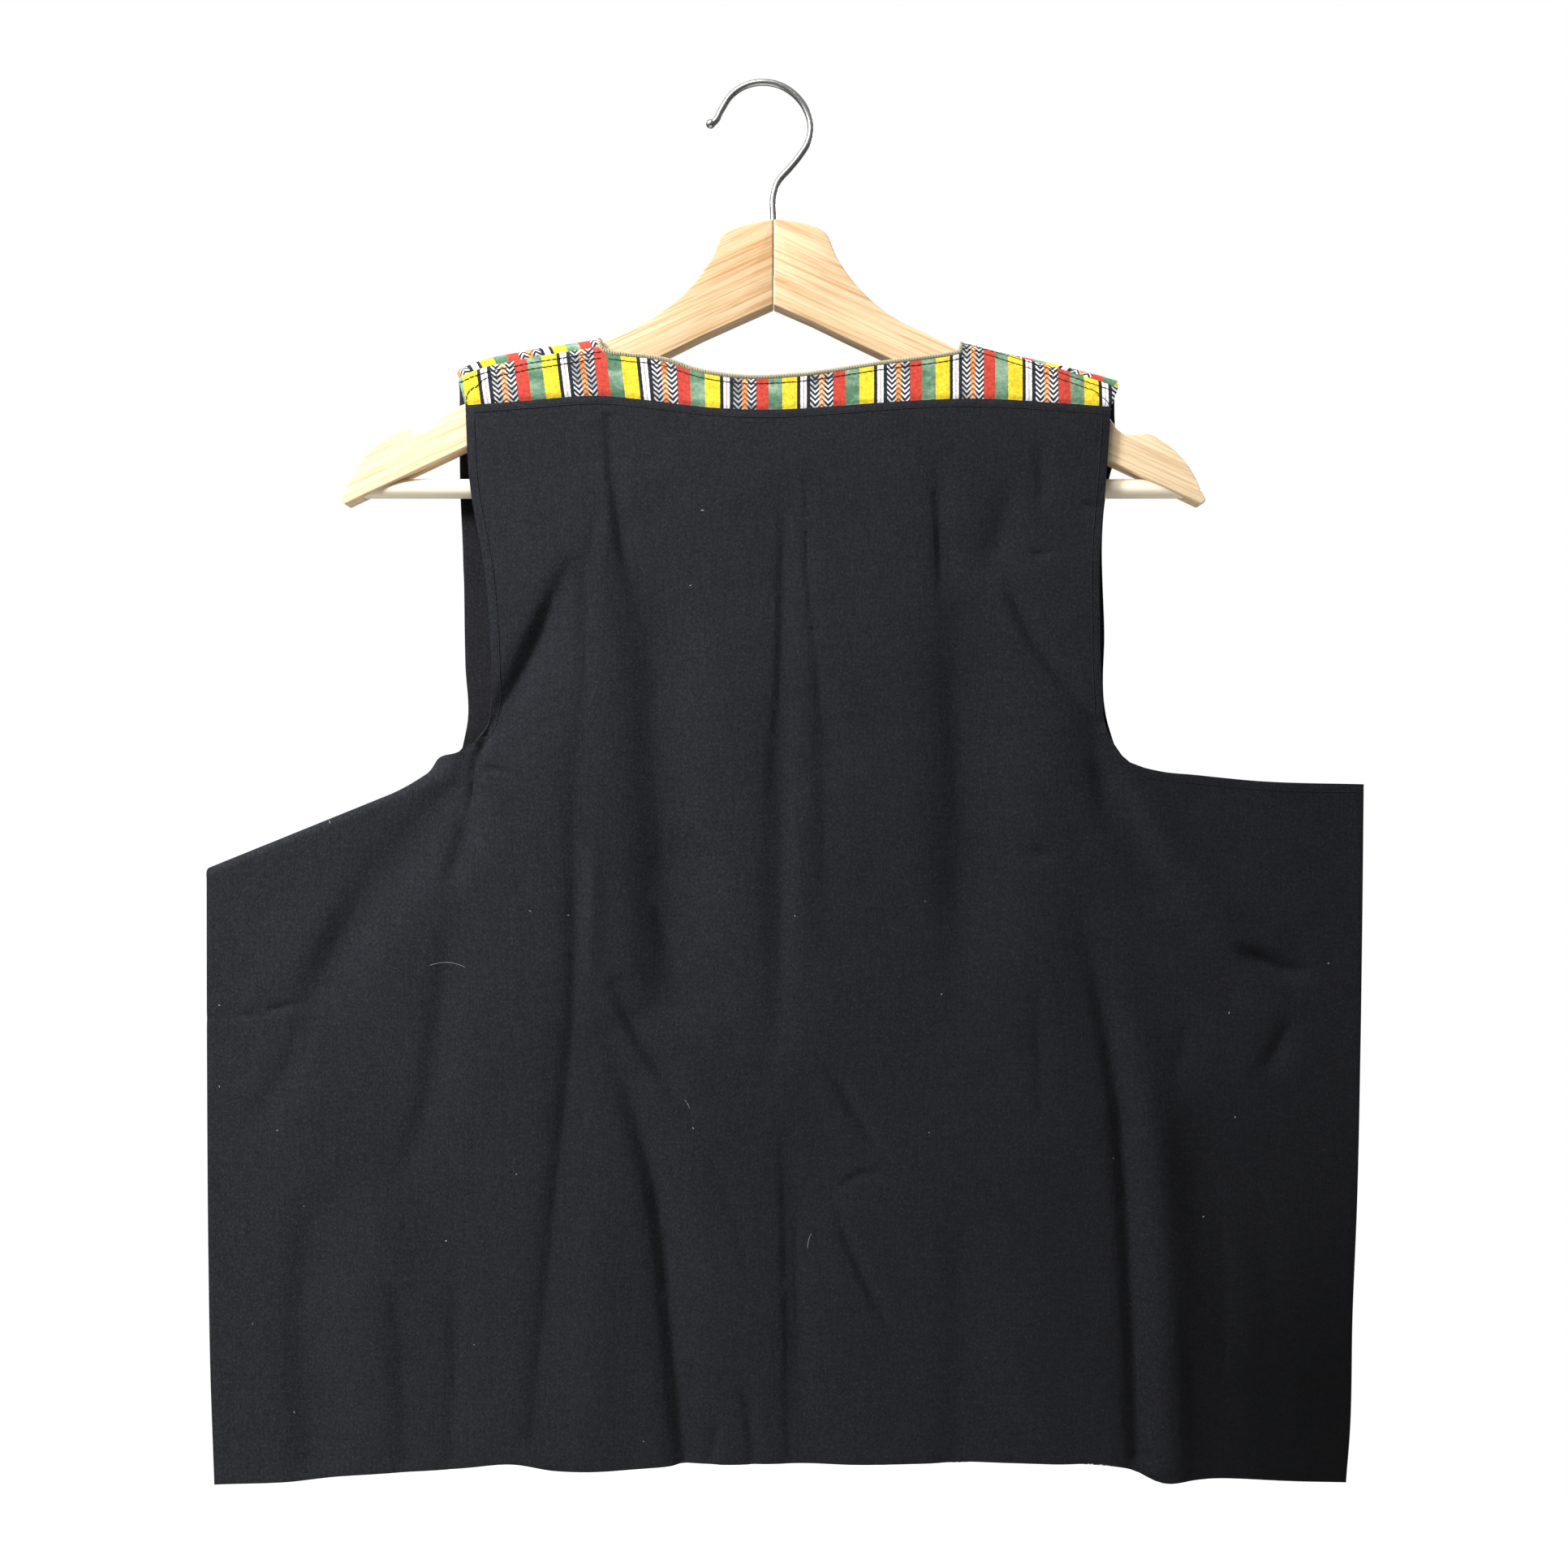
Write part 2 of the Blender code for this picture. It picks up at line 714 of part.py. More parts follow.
def yoke_plan():
    neck = columns(NECK)[:, 0]
    between = np.linspace(neck[3], neck[-4], YOKE_NECK_COLUMNS + 1)
    top_x = np.concatenate([
        np.linspace(SHOULDER_TIP_LEFT_X, neck[0], FRONT_COLUMNS + 1),
        neck[1:3],
        (neck[2:3] + neck[3:4]) / 2,
        between,
        (neck[-4:-3] + neck[-3:-2]) / 2,
        neck[-3:-1],
        np.linspace(neck[-1], SHOULDER_TIP_RIGHT_X, FRONT_COLUMNS + 1),
    ])
    top = yoke_top(top_x)
    share = ((top_x - top_x[0]) / (top_x[-1] - top_x[0]))[:, None]
    seam = columns(YOKE_SEAM)
    bottom = on_plan(at_x(YOKE_SEAM, seam[0, 0] + (seam[-1, 0] - seam[0, 0]) * share[:, 0]))
    bottom[:, 1] += SEAM_GAP / 2
    down = even(YOKE_ROWS)[:, None]
    left = (1 - down) * top[0] + down * bottom[0]
    right = (1 - down) * top[-1] + down * bottom[-1]
    return patch(top, bottom, left, right, share)


def material(name, colour, roughness, metallic=0.0):
    made = bpy.data.materials.new(name)
    made.use_nodes = True
    shader = made.node_tree.nodes["Principled BSDF"]
    shader.inputs["Base Color"].default_value = (*colour, 1.0)
    shader.inputs["Roughness"].default_value = roughness
    shader.inputs["Metallic"].default_value = metallic
    made.diffuse_color = (*colour, 1.0)
    return made


def new_collection(name):
    made = bpy.data.collections.new(name)
    bpy.context.scene.collection.children.link(made)
    return made


def move_to(obj, collection):
    for old in list(obj.users_collection):
        old.objects.unlink(obj)
    collection.objects.link(obj)


def sheet_mesh(name, layer, plans):
    """The middle surface of a panel: its patches hung, joined and facing out."""
    mesh = bpy.data.meshes.new(name)
    work = bmesh.new()
    for plan in plans:
        hung = place(layer, plan) * MM
        corners = [[work.verts.new(point) for point in row] for row in hung]
        for upper, lower in zip(corners, corners[1:]):
            for i in range(len(upper) - 1):
                work.faces.new((upper[i], lower[i], lower[i + 1], upper[i + 1]))
    bmesh.ops.remove_doubles(work, verts=work.verts, dist=JOIN * MM)
    bmesh.ops.recalc_face_normals(work, faces=work.faces)
    facing = sum(face.normal.y * face.calc_area() for face in work.faces)
    if facing * layer < 0:
        bmesh.ops.reverse_faces(work, faces=work.faces)
    work.to_mesh(mesh)
    work.free()
    mesh.shade_smooth()
    return mesh


def cloth(name, mesh, wall, made_of, collection):
    obj = bpy.data.objects.new(name, mesh)
    mesh.materials.append(made_of)
    collection.objects.link(obj)
    thick = obj.modifiers.new("cloth wall", "SOLIDIFY")
    thick.thickness = wall * MM
    thick.offset = 0.0
    return obj


def moved_in(mesh, name, distance):
    """A copy of a panel's surface, moved in along its own normals."""
    copy = mesh.copy()
    copy.name = name
    copy.materials.clear()
    normals = [vertex.normal.copy() for vertex in mesh.vertices]
    for vertex, normal in zip(copy.vertices, normals):
        vertex.co -= normal * distance * MM
    return copy


def tube(name, points, radius, made_of, collection, sizes=None, resolution=2):
    """A round wire or cord through points in millimetres."""
    curve = bpy.data.curves.new(name, "CURVE")
    curve.dimensions = "3D"
    curve.bevel_depth = radius * MM
    curve.bevel_resolution = resolution
    curve.use_fill_caps = True
    spline = curve.splines.new("POLY")
    spline.points.add(len(points) - 1)
    for i, point in enumerate(points):
        spline.points[i].co = (*(np.asarray(point) * MM), 1.0)
        spline.points[i].radius = 1.0 if sizes is None else sizes[i]
    curve.materials.append(made_of)
    obj = bpy.data.objects.new(name, curve)
    collection.objects.link(obj)
    return obj


def beside(path, distance):
    """A path parallel to another, to the left of the way that it runs."""
    ahead = np.diff(path, axis=0)
    ahead /= np.linalg.norm(ahead, axis=1)[:, None]
    normals = np.column_stack([-ahead[:, 1], ahead[:, 0]])
    before = np.concatenate([normals[:1], normals])
    after = np.concatenate([normals, normals[-1:]])
    mitre = before + after
    mitre /= (1 + np.sum(before * after, axis=1))[:, None]
    return path + distance * mitre


def divided(path, longest):
    """The path with points added so that no step is longer than this."""
    pieces = [path[:1]]
    for start, end in zip(path, path[1:]):
        count = max(1, math.ceil(np.linalg.norm(end - start) / longest))
        pieces.append(start + (end - start) * even(count)[1:, None])
    return np.concatenate(pieces)


def front_edge_path(side):
    """The neck and front edge as (x, length past the crest), from the shoulder seam to the hem."""
    strip, chest, body = front_plans(side)[:3]
    edge = np.concatenate([strip[1:, -1], chest[1:, -1], body[1:, -1]])
    past = crest_z(edge[:, 0]) + CREST_EXTRA - edge[:, 1]
    return np.column_stack([edge[:, 0], -past])


def neck_braid(made_of, collection):
    """One braid: up the left front edge, round the back of the neck and down the right front edge."""
    neck = yoke_plan()[0]
    inside = (neck[:, 0] >= NECK[1][0]) & (neck[:, 0] <= NECK[-1][0])
    neck = neck[inside]
    past = crest_z(neck[:, 0]) + CREST_EXTRA - neck[:, 1]
    back = np.column_stack([neck[:, 0], past])
    path = np.concatenate([front_edge_path(-1)[::-1], back, front_edge_path(1)])
    path = beside(path, -BRAID_REACH)
    path = divided(path, BRAID_EVERY)
    plan = np.column_stack([path[:, 0], crest_z(path[:, 0]) + CREST_EXTRA - np.abs(path[:, 1])])
    on_back = path[:, 1:] > 0
    points = np.where(on_back, place(BACK, plan), place(FRONT, plan))
    return tube("neck_braid", points, BRAID_RADIUS, made_of, collection, resolution=1)


def as_mesh(obj, collection):
    """The object made a plain mesh, its caps joined to its sides."""
    graph = bpy.context.evaluated_depsgraph_get()
    mesh = bpy.data.meshes.new_from_object(obj.evaluated_get(graph))
    work = bmesh.new()
    work.from_mesh(mesh)
    bmesh.ops.remove_doubles(work, verts=work.verts, dist=JOIN * MM)
    bmesh.ops.recalc_face_normals(work, faces=work.faces)
    work.to_mesh(mesh)
    work.free()
    name = obj.name
    made = bpy.data.objects.new(name + " mesh", mesh)
    made.matrix_world = obj.matrix_world
    collection.objects.link(made)
    bpy.data.objects.remove(obj)
    made.name = name
    return made


def cylinder(name, radius, start, end, collection):
    """A round bar between two points in millimetres."""
    start = np.asarray(start, float) * MM
    end = np.asarray(end, float) * MM
    along = end - start
    bpy.ops.mesh.primitive_cylinder_add(
        vertices=ROUND_SIDES,
        radius=radius * MM,
        depth=float(np.linalg.norm(along)),
    )
    obj = bpy.context.object
    obj.name = name
    obj.location = (start + end) / 2
    if abs(along[0]) > abs(along[2]):
        obj.rotation_euler = (0.0, math.pi / 2, 0.0)
    move_to(obj, collection)
    return obj


def cut(obj, cutter):
    take = obj.modifiers.new("cut " + cutter.name, "BOOLEAN")
    take.operation = "DIFFERENCE"
    take.object = cutter
    cutter.hide_render = True
    cutter.display_type = "WIRE"


def hanger_arm(name, top, end, lower, gap, made_of, parts):
    """One arm, cut from board along its outline, with its edges rounded."""
    upper = follow(columns(top), even(ARM_STEPS))
    upper[0, 0] += gap
    tip = columns(end)
    under = columns(lower)
    under[-1, 0] += gap
    outline = np.concatenate([upper, tip, under])
    curve = bpy.data.curves.new(name, "CURVE")
    curve.dimensions = "2D"
    curve.fill_mode = "BOTH"
    curve.extrude = ARM_THICKNESS / 2 * MM
    spline = curve.splines.new("POLY")
    spline.points.add(len(outline) - 1)
    spline.use_cyclic_u = True
    for i, (x, z) in enumerate(outline):
        spline.points[i].co = (x * MM, z * MM, 0.0, 1.0)
    obj = bpy.data.objects.new(name, curve)
    obj.rotation_euler = (math.pi / 2, 0.0, 0.0)
    parts.objects.link(obj)
    bpy.context.view_layer.update()
    arm = as_mesh(obj, parts)
    arm.data.materials.append(made_of)
    arm.data.shade_smooth()
    arm.data.set_sharp_from_angle(angle=ARM_SHARP)
    edges = arm.modifiers.new("rounded edges", "BEVEL")
    edges.width = ARM_ROUND * MM
    edges.segments = ARM_ROUND_STEPS
    edges.limit_method = "ANGLE"
    edges.angle_limit = ARM_ROUNDED_ABOVE
    return arm


def build_hanger(parts, cutters):
    wood = material("pale wood", (0.80, 0.58, 0.33), 0.35)
    bar_wood = material("pale bar wood", (0.87, 0.72, 0.48), 0.4)
    steel = material("plated wire", (0.72, 0.72, 0.74), 0.15, 1.0)
    half_gap = SEAM_GAP / 2
    shape_left = (ARM_TOP_LEFT, ARM_END_LEFT, ARM_LOWER_LEFT)
    shape_right = (ARM_TOP_RIGHT, ARM_END_RIGHT, ARM_LOWER_RIGHT)
    left = hanger_arm("hanger_arm_left", *shape_left, -half_gap, wood, parts)
    right = hanger_arm("hanger_arm_right", *shape_right, half_gap, wood, parts)

    bar_left = (BAR_ENDS[0], 0, BAR_Z)
    bar_right = (BAR_ENDS[1], 0, BAR_Z)
    bar = cylinder("trouser_bar", BAR_RADIUS, bar_left, bar_right, parts)
    bar.data.materials.append(bar_wood)
    socket = BAR_RADIUS + BORE_CLEARANCE
    start = (BAR_ENDS[0] - BORE_CLEARANCE, 0, BAR_Z)
    end = (BAR_ENDS[1] + BORE_CLEARANCE, 0, BAR_Z)
    sockets = cylinder("bar socket", socket, start, end, cutters)

    rows = columns(HOOK_POINTS)
    bore_foot = (HANGER_X, 0, rows[0, 1] - BORE_CLEARANCE)
    bore_mouth = (HANGER_X, 0, HOOK_BORE_TOP)
    bore = cylinder("hook bore", HOOK_RADIUS + BORE_CLEARANCE, bore_foot, bore_mouth, cutters)
    for arm in (left, right):
        cut(arm, sockets)
        cut(arm, bore)

    route = follow(rows, even(HOOK_STEPS))
    points = np.column_stack([route[:, 0], np.zeros(len(route)), route[:, 1]])
    sizes = np.ones(len(points))
    sizes[-1] = HOOK_TIP
    tube("hanger_hook", points, HOOK_RADIUS, steel, parts, sizes)


def build_vest(parts):
    black = material("black cotton", (0.03, 0.03, 0.035), 0.9)
    lining_black = material("black lining", (0.02, 0.02, 0.024), 0.85)
    striped = material("striped folk weave", (0.55, 0.25, 0.10), 0.85)
    braid = material("beige braid", (0.42, 0.35, 0.20), 0.8)

    cloth("back_panel", sheet_mesh("back_panel", BACK, back_plans()), BACK_WALL, black, parts)
    cloth("back_yoke", sheet_mesh("back_yoke", BACK, [yoke_plan()]), BACK_WALL, striped, parts)
    lining_distance = (FRONT_WALL + LINING_WALL) / 2 + SEAM_GAP
    for side, word in ((-1, "left"), (1, "right")):
        name = "front_" + word
        surface = sheet_mesh(name, FRONT, front_plans(side))
        inner = moved_in(surface, name + "_lining", lining_distance)
        cloth(name, surface, FRONT_WALL, striped, parts)
        cloth(name + "_lining", inner, LINING_WALL, lining_black, parts)
    neck_braid(braid, parts)


def main():
    for obj in list(bpy.data.objects):
        bpy.data.objects.remove(obj)
    parts = new_collection(NAME)
    cutters = new_collection(NAME + " cutters")
    build_hanger(parts, cutters)
    build_vest(parts)
    bpy.context.view_layer.update()


main()
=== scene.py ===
"""Striped folk vest hanging from a wooden trouser hanger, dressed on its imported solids.

Lengths in the tables are millimetres. The origin is the inside top of the hook,
+Z is up and the back of the vest faces -Y. Every cloth panel is drawn flat on a
plan: x across, and h, the height it would have if the cloth went straight up
past the shoulder crest. place() hangs the plan over the shoulders, spreads back
and front, presses in the folds and turns down one corner. The plan is also each
panel's UV map, in metres, so that weave and stripes follow the cloth.
"""

import math

import bmesh
import bpy
import numpy as np
from bpy.props import FloatProperty, FloatVectorProperty, PointerProperty
from bpy.types import Operator, Panel, PropertyGroup
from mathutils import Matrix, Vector


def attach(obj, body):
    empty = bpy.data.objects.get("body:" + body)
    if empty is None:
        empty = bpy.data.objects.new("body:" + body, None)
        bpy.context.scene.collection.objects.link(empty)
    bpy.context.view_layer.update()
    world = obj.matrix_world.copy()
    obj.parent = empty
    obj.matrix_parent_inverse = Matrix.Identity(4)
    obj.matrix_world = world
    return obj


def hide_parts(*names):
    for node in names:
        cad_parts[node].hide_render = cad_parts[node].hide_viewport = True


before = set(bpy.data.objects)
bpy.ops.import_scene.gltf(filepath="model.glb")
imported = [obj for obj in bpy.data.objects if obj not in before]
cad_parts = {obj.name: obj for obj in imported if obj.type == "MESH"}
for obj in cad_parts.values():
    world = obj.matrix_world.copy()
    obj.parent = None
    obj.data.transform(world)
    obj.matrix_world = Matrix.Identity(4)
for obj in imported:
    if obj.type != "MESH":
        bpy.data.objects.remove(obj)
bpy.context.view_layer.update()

bl_info = {
    "name": "Striped folk vest on a hanger",
    "version": (1, 0, 0),
    "blender": (4, 5, 0),
    "location": "3D View > Sidebar > Vest",
    "description": "Cloth, stitching, braid, wood and wire for a vest on a trouser hanger",
    "category": "Object",
}

BODY = "root"


def finer(values, step):
    """The values in their order, with even ones between them so that none is over a step apart."""
    filled = [float(values[0])]
    for start, end in zip(values, values[1:]):
        count = max(1, math.ceil(abs(end - start) / step))
        filled += [start + (end - start) * i / count for i in range(1, count + 1)]
    return tuple(filled)


MM = 0.001
BACK = -1
FRONT = 1

SEAM_GAP = 0.3
SEAM_LAP = 0.3
BACK_WALL = 1.2
FRONT_WALL = 1.0
LINING_WALL = 1.0
BRAID_REACH = 1.1
LINING_SHORT = 4.0

CENTRE_X = 10.5
FRONT_EDGE = 5.0

# Shoulder crest, middle of the cloth
CREST = (
    ("x", "z"),
    (-160.0, -150.6),
    (-157.0, -148.7),
    (-149.0, -144.9),
    (-141.0, -142.4),
    (-118.0, -137.8),
    (-95.0, -134.4),
    (-85.5, -132.7),
    (105.0, -134.8),
    (123.0, -139.4),
    (148.0, -144.9),
    (173.0, -151.2),
    (186.0, -155.2),
)
CREST_HALF = 9.5
CREST_POWER = 3.0

# How far past the crest the shoulder seams lie, along the cloth
SHOULDER_SEAM = (
    ("x", "length"),
    (-156.2, 12.0),
    (-86.0, 11.6),
    (104.0, 4.5),
    (120.0, 5.2),
    (135.0, 6.6),
    (154.0, 8.9),
    (165.0, 10.0),
    (182.2, 11.2),
)

# Neck edge of the back, below the braid, from shoulder seam to shoulder seam
NECK = (
    ("x", "z"),
    (-84.2, -138.3),
    (-82.2, -140.4),
    (-78.0, -141.8),
    (-60.0, -143.7),
    (-48.0, -146.0),
    (-36.5, -150.0),
    (-19.5, -153.3),
    (16.5, -153.3),
    (37.0, -150.8),
    (61.5, -147.1),
    (85.5, -144.1),
    (98.0, -142.2),
    (102.0, -141.2),
    (103.8, -139.9),
)
# The neck point of the front: on the crest and at the shoulder seam
NECK_POINTS = (
    ("side", "crest_x", "seam_x"),
    (-1, -85.4, -84.2),
    (1, 104.8, 103.8),
)

YOKE_SEAM = (
    ("x", "z"),
    (-152.4, -167.8),
    (-122.0, -165.4),
    (-82.0, -162.9),
    (-60.0, -164.9),
    (-31.0, -168.5),
    (-2.0, -169.9),
    (37.0, -168.1),
    (73.0, -165.6),
    (110.0, -164.3),
    (147.0, -166.2),
    (178.5, -168.6),
)
SHOULDER_TIP_LEFT_X = -156.2
SHOULDER_TIP_RIGHT_X = 182.2

BACK_ARMHOLE_LEFT = (
    ("x", "z"),
    (-152.4, -167.8),
    (-150.4, -206.0),
    (-141.7, -259.0),
    (-139.2, -300.0),
    (-139.4, -318.0),
    (-142.0, -332.0),
    (-148.5, -340.5),
)
BACK_ARMHOLE_RIGHT = (
    ("x", "z"),
    (178.5, -168.6),
    (176.0, -206.0),
    (172.6, -251.0),
    (172.8, -275.0),
    (174.5, -318.0),
    (176.3, -332.0),
    (181.0, -341.5),
)
FRONT_ARMHOLE_LEFT = (
    ("x", "z"),
    (-158.6, -163.0),
    (-157.0, -213.0),
    (-155.5, -300.0),
    (-154.0, -330.0),
    (-156.5, -343.0),
)
FRONT_ARMHOLE_RIGHT = (
    ("x", "z"),
    (183.6, -165.0),
    (183.4, -192.0),
    (180.4, -204.0),
    (178.2, -285.0),
    (179.2, -328.0),
    (184.0, -344.0),
)

# Half width of the front neck opening at each height
FRONT_NECK = (
    ("half", "z"),
    (94.0, -152.0),
    (84.0, -172.0),
    (60.0, -214.0),
    (35.0, -258.0),
    (16.0, -294.0),
    (7.5, -312.0),
    (FRONT_EDGE, -325.0),
    (FRONT_EDGE, -341.0),
)

# Top of each wing, from the underarm corner to the side seam, before any corner is turned down
WING_TOP_LEFT = (
    ("x", "z"),
    (-148.5, -340.5),
    (-157.0, -345.6),
    (-166.0, -350.0),
    (-180.0, -354.5),
    (-210.0, -358.0),
    (-286.2, -362.3),
)
WING_TOP_RIGHT = (
    ("x", "z"),
    (181.0, -341.5),
    (186.0, -348.5),
    (193.0, -352.3),
    (204.0, -355.2),
    (223.0, -357.2),
    (256.0, -360.4),
    (310.5, -362.0),
)
# Line that the left wing's corner is turned down along
TURN = (
    ("x", "z"),
    (-148.5, -340.5),
    (-157.0, -350.5),
    (-170.0, -361.5),
    (-186.0, -369.3),
    (-237.0, -390.0),
    (-287.5, -410.4),
)
TURN_FROM = (-186.0, -369.3)
TURN_TO = (-287.5, -410.4)
TURN_STARTS_X = -156.0
TURN_WHOLE_X = -194.0
TURN_INNER_RADIUS = 1.25
TURN_ARC = 3.0
LYING_REACH = 22.0
LYING_EASE = 40.0

SIDE_LEFT = (
    ("x", "z"),
    (-287.5, -410.4),
    (-287.3, -502.0),
    (-286.6, -605.0),
    (-285.6, -664.0),
    (-283.5, -724.0),
)
SIDE_RIGHT = (
    ("x", "z"),
    (310.5, -362.0),
    (309.7, -438.0),
    (308.8, -502.0),
    (307.4, -575.0),
    (305.0, -635.0),
    (303.4, -700.0),
    (301.5, -723.0),
)

BACK_HEM = (
    ("x", "z"),
    (-283.5, -724.0),
    (-247.0, -722.0),
    (-200.0, -717.0),
    (-160.0, -714.5),
    (-127.0, -711.5),
    (-107.0, -714.5),
    (-81.0, -714.5),
    (-50.0, -712.5),
    (-11.0, -711.5),
    (60.0, -711.0),
    (90.0, -710.5),
    (150.0, -711.5),
    (178.0, -712.5),
    (190.0, -715.5),
    (206.0, -721.5),
    (222.0, -721.5),
    (260.0, -722.0),
    (301.5, -723.0),
)
FRONT_HEM_LEFT = (
    ("x", "z"),
    (-283.5, -724.0),
    (-247.0, -720.0),
    (-200.0, -717.0),
    (-120.0, -714.5),
    (CENTRE_X - FRONT_EDGE, -714.0),
)
FRONT_HEM_RIGHT = (
    ("x", "z"),
    (CENTRE_X + FRONT_EDGE, -714.3),
    (60.0, -715.5),
    (100.0, -715.5),
    (150.0, -716.5),
    (178.0, -717.0),
    (206.0, -720.5),
    (240.0, -720.5),
    (301.5, -723.0),
)

# How far each layer stands from the middle: at a seam, in a wing, over the hanger
SPREAD = (
    ("layer", "seam", "wing", "body"),
    (BACK, 2.0, 2.6, 4.9),
    (FRONT, 0.95, 2.6, 5.9),
)
BODY_HALF = 120.0
WING_STARTS = 195.0
CHEST_HEIGHT = (-345.0, -300.0)
SIDE_LEFT_X = -287.0
SIDE_RIGHT_X = 310.0
SEAM_SOFT = 60.0
HEM_CLOSES = 0.25
HEM_CLOSING_DEPTH = (350.0, 715.0)
FOLDS_BEGIN = (10.0, 45.0)
FOLD_FADE = 0.4

# Deep folds: a positive depth moves the cloth to +Y, and the flank at +X is right times as wide
FOLDS = (
    ("layer", "depth", "width", "right", "start", "end", "path"),
    (0, 4.2, 8, 1.5, 0.1, 1, (
        (159, -421), (168, -443), (180, -491), (186, -523), (191, -586), (194, -659), (195, -709),
    )),
    (0, -4.8, 14, 1.0, 0.0, 1, (
        (176, -420), (188, -490), (198, -540), (203, -590), (206, -640), (209, -709),
    )),
    (0, 6.4, 20, 3.6, 0.0, 1, ((225, -490), (231, -560), (236, -620), (238, -713))),
    (0, -3.6, 9, 2.6, 0.2, 0, ((266, -436), (238, -424), (210, -400), (190, -370), (180, -352))),
    (0, 3.4, 13, 0.6, 0.5, 0.2, (
        (171, -340), (177, -358), (187, -378), (203, -412), (222, -434), (244, -452),
    )),
    (0, 5.2, 9, 2.0, 0.6, 0, (
        (-159, -364), (-187, -393), (-203, -412), (-216, -437), (-229, -465), (-240, -494),
    )),
    (0, 3.2, 9, 2.2, 0.0, 1, ((-226, -552), (-235, -602), (-238, -637), (-234, -709))),
    (0, -2.0, 20, 1.0, 0.0, 1, ((-190, -540), (-196, -640), (-196, -709))),
    (0, -2.0, 22, 1.0, 0.0, 1, ((270, -540), (276, -620), (276, -709))),
    (BACK, 3.0, 6, 3.6, 0.3, 0.4, ((-99, -254), (-104, -264), (-116, -289), (-128, -314), (-141, -334))),
    (BACK, 2.4, 7, 2.4, 0.2, 1, (
        (-92, -326), (-96, -374), (-95, -437), (-96, -485), (-104, -564), (-117, -697),
    )),
    (BACK, 5.0, 8, 1.8, 0.4, 1, (
        (-79, -491), (-70, -513), (-63, -536), (-55, -564), (-50, -596), (-44, -659), (-39, -710),
    )),
    (BACK, -2.0, 13, 1.0, 0.0, 1, ((-84, -560), (-84, -640), (-88, -709))),
    (BACK, 5.4, 13, 1.8, 0.3, 0.6, ((-66, -232), (-56, -290), (-53, -360), (-47, -430), (-50, -474))),
    (BACK, 3.0, 16, 1.6, 0.0, 0.6, ((-54, -376), (-47, -430), (-44, -464))),
    (BACK, 5.4, 15, 1.8, 0.4, 0, ((101, -246), (104, -320), (105.5, -374), (104, -430), (100, -510))),
    (BACK, 2.4, 9, 2.4, 0.0, 1, ((102, -560), (102, -640), (100, -709))),
    (BACK, 2.2, 14, 1.0, 0.0, 1, ((24, -500), (24, -600), (22, -709))),
    (FRONT, -3.5, 18, 1.0, 0.0, 1, ((-60, -380), (-78, -520), (-70, -712))),
    (FRONT, 3.0, 20, 1.0, 0.0, 1, ((-112, -400), (-118, -560), (-112, -712))),
    (FRONT, -3.5, 18, 1.0, 0.0, 1, ((92, -360), (104, -500), (96, -712))),
    (FRONT, 3.0, 20, 1.0, 0.0, 1, ((60, -430), (58, -560), (52, -712))),
    (FRONT, -3.0, 14, 1.0, 0.0, 0, ((-72, -240), (-104, -290), (-140, -325))),
    (FRONT, -3.0, 14, 1.0, 0.0, 0, ((96, -238), (128, -292), (164, -326))),
)

# How finely each panel is drawn
GRID = 4.0
FRONT_GRID = 4.2
WING_LEFT_X = finer((-148.5, -165.0, -197.0, -236.0, -287.5), GRID)
CHEST_X = finer((-148.5, 181.0), GRID)
WING_RIGHT_X = finer((181.0, 310.5), GRID)
FRONT_LEFT_WING_X = finer((-156.5, -165.0, -197.0, -236.0, -287.5), FRONT_GRID)
FRONT_RIGHT_WING_X = finer((184.0, 310.5), FRONT_GRID)
FRONT_COLUMNS = 40
ROWS_BODY = 100
ROWS_FRONT_BODY = 84
BEND_ALLOWED = 0.045
DIVIDE_ROUNDS = 2
CHEST_ROWS = finer((0.0, 1.0), 0.016)
FRONT_CHEST_ROWS = finer((0.0, 1.0), 0.02)
CREST_KNOTS = (0.0, 5.4, 16.0, 24.0)
CREST_ROWS = finer(CREST_KNOTS, 1.3)
TURN_STEPS = 14
TURN_LYING_STEPS = 8
ROLL_SHARE = (0.35, 0.8)
JOIN = 0.01
YOKE_NECK_COLUMNS = 90
YOKE_ROWS = 14
BRAID_EVERY = 1.6

# Hanger
ARM_THICKNESS = 13.0
ARM_ROUND = 2.2
ARM_ROUNDED_ABOVE = math.radians(60)
ARM_SHARP = math.radians(35)
ARM_STEPS = 140
HANGER_X = 5.5
ARM_TOP_LEFT = (
    ("x", "z"),
    (HANGER_X, -71.1),
    (-10.0, -74.3),
    (-19.8, -78.5),
    (-27.0, -92.0),
    (-39.0, -107.8),
    (-58.5, -122.8),
    (-82.5, -134.7),
    (-155.0, -166.9),
)
ARM_TOP_RIGHT = (
    ("x", "z"),
    (HANGER_X, -71.1),
    (20.0, -72.9),
    (31.5, -77.6),
    (38.5, -91.5),
    (46.4, -103.0),
    (63.5, -119.2),
    (88.0, -132.0),
    (178.0, -172.8),
)
ARM_END_LEFT = (
    ("x", "z"),
    (-164.6, -171.4),
    (-167.8, -174.6),
    (-170.6, -178.4),
    (-175.0, -180.8),
    (-179.0, -180.8),
    (-183.4, -179.5),
    (-193.8, -183.5),
    (-204.7, -192.7),
    (-213.0, -205.2),
    (-216.7, -215.5),
    (-215.2, -218.2),
)
ARM_END_RIGHT = (
    ("x", "z"),
    (180.3, -176.0),
    (183.0, -179.7),
    (187.0, -181.9),
    (191.0, -181.9),
    (195.8, -181.2),
    (207.3, -186.4),
    (219.0, -197.9),
    (225.6, -210.7),
    (227.6, -216.2),
    (226.0, -218.0),
)
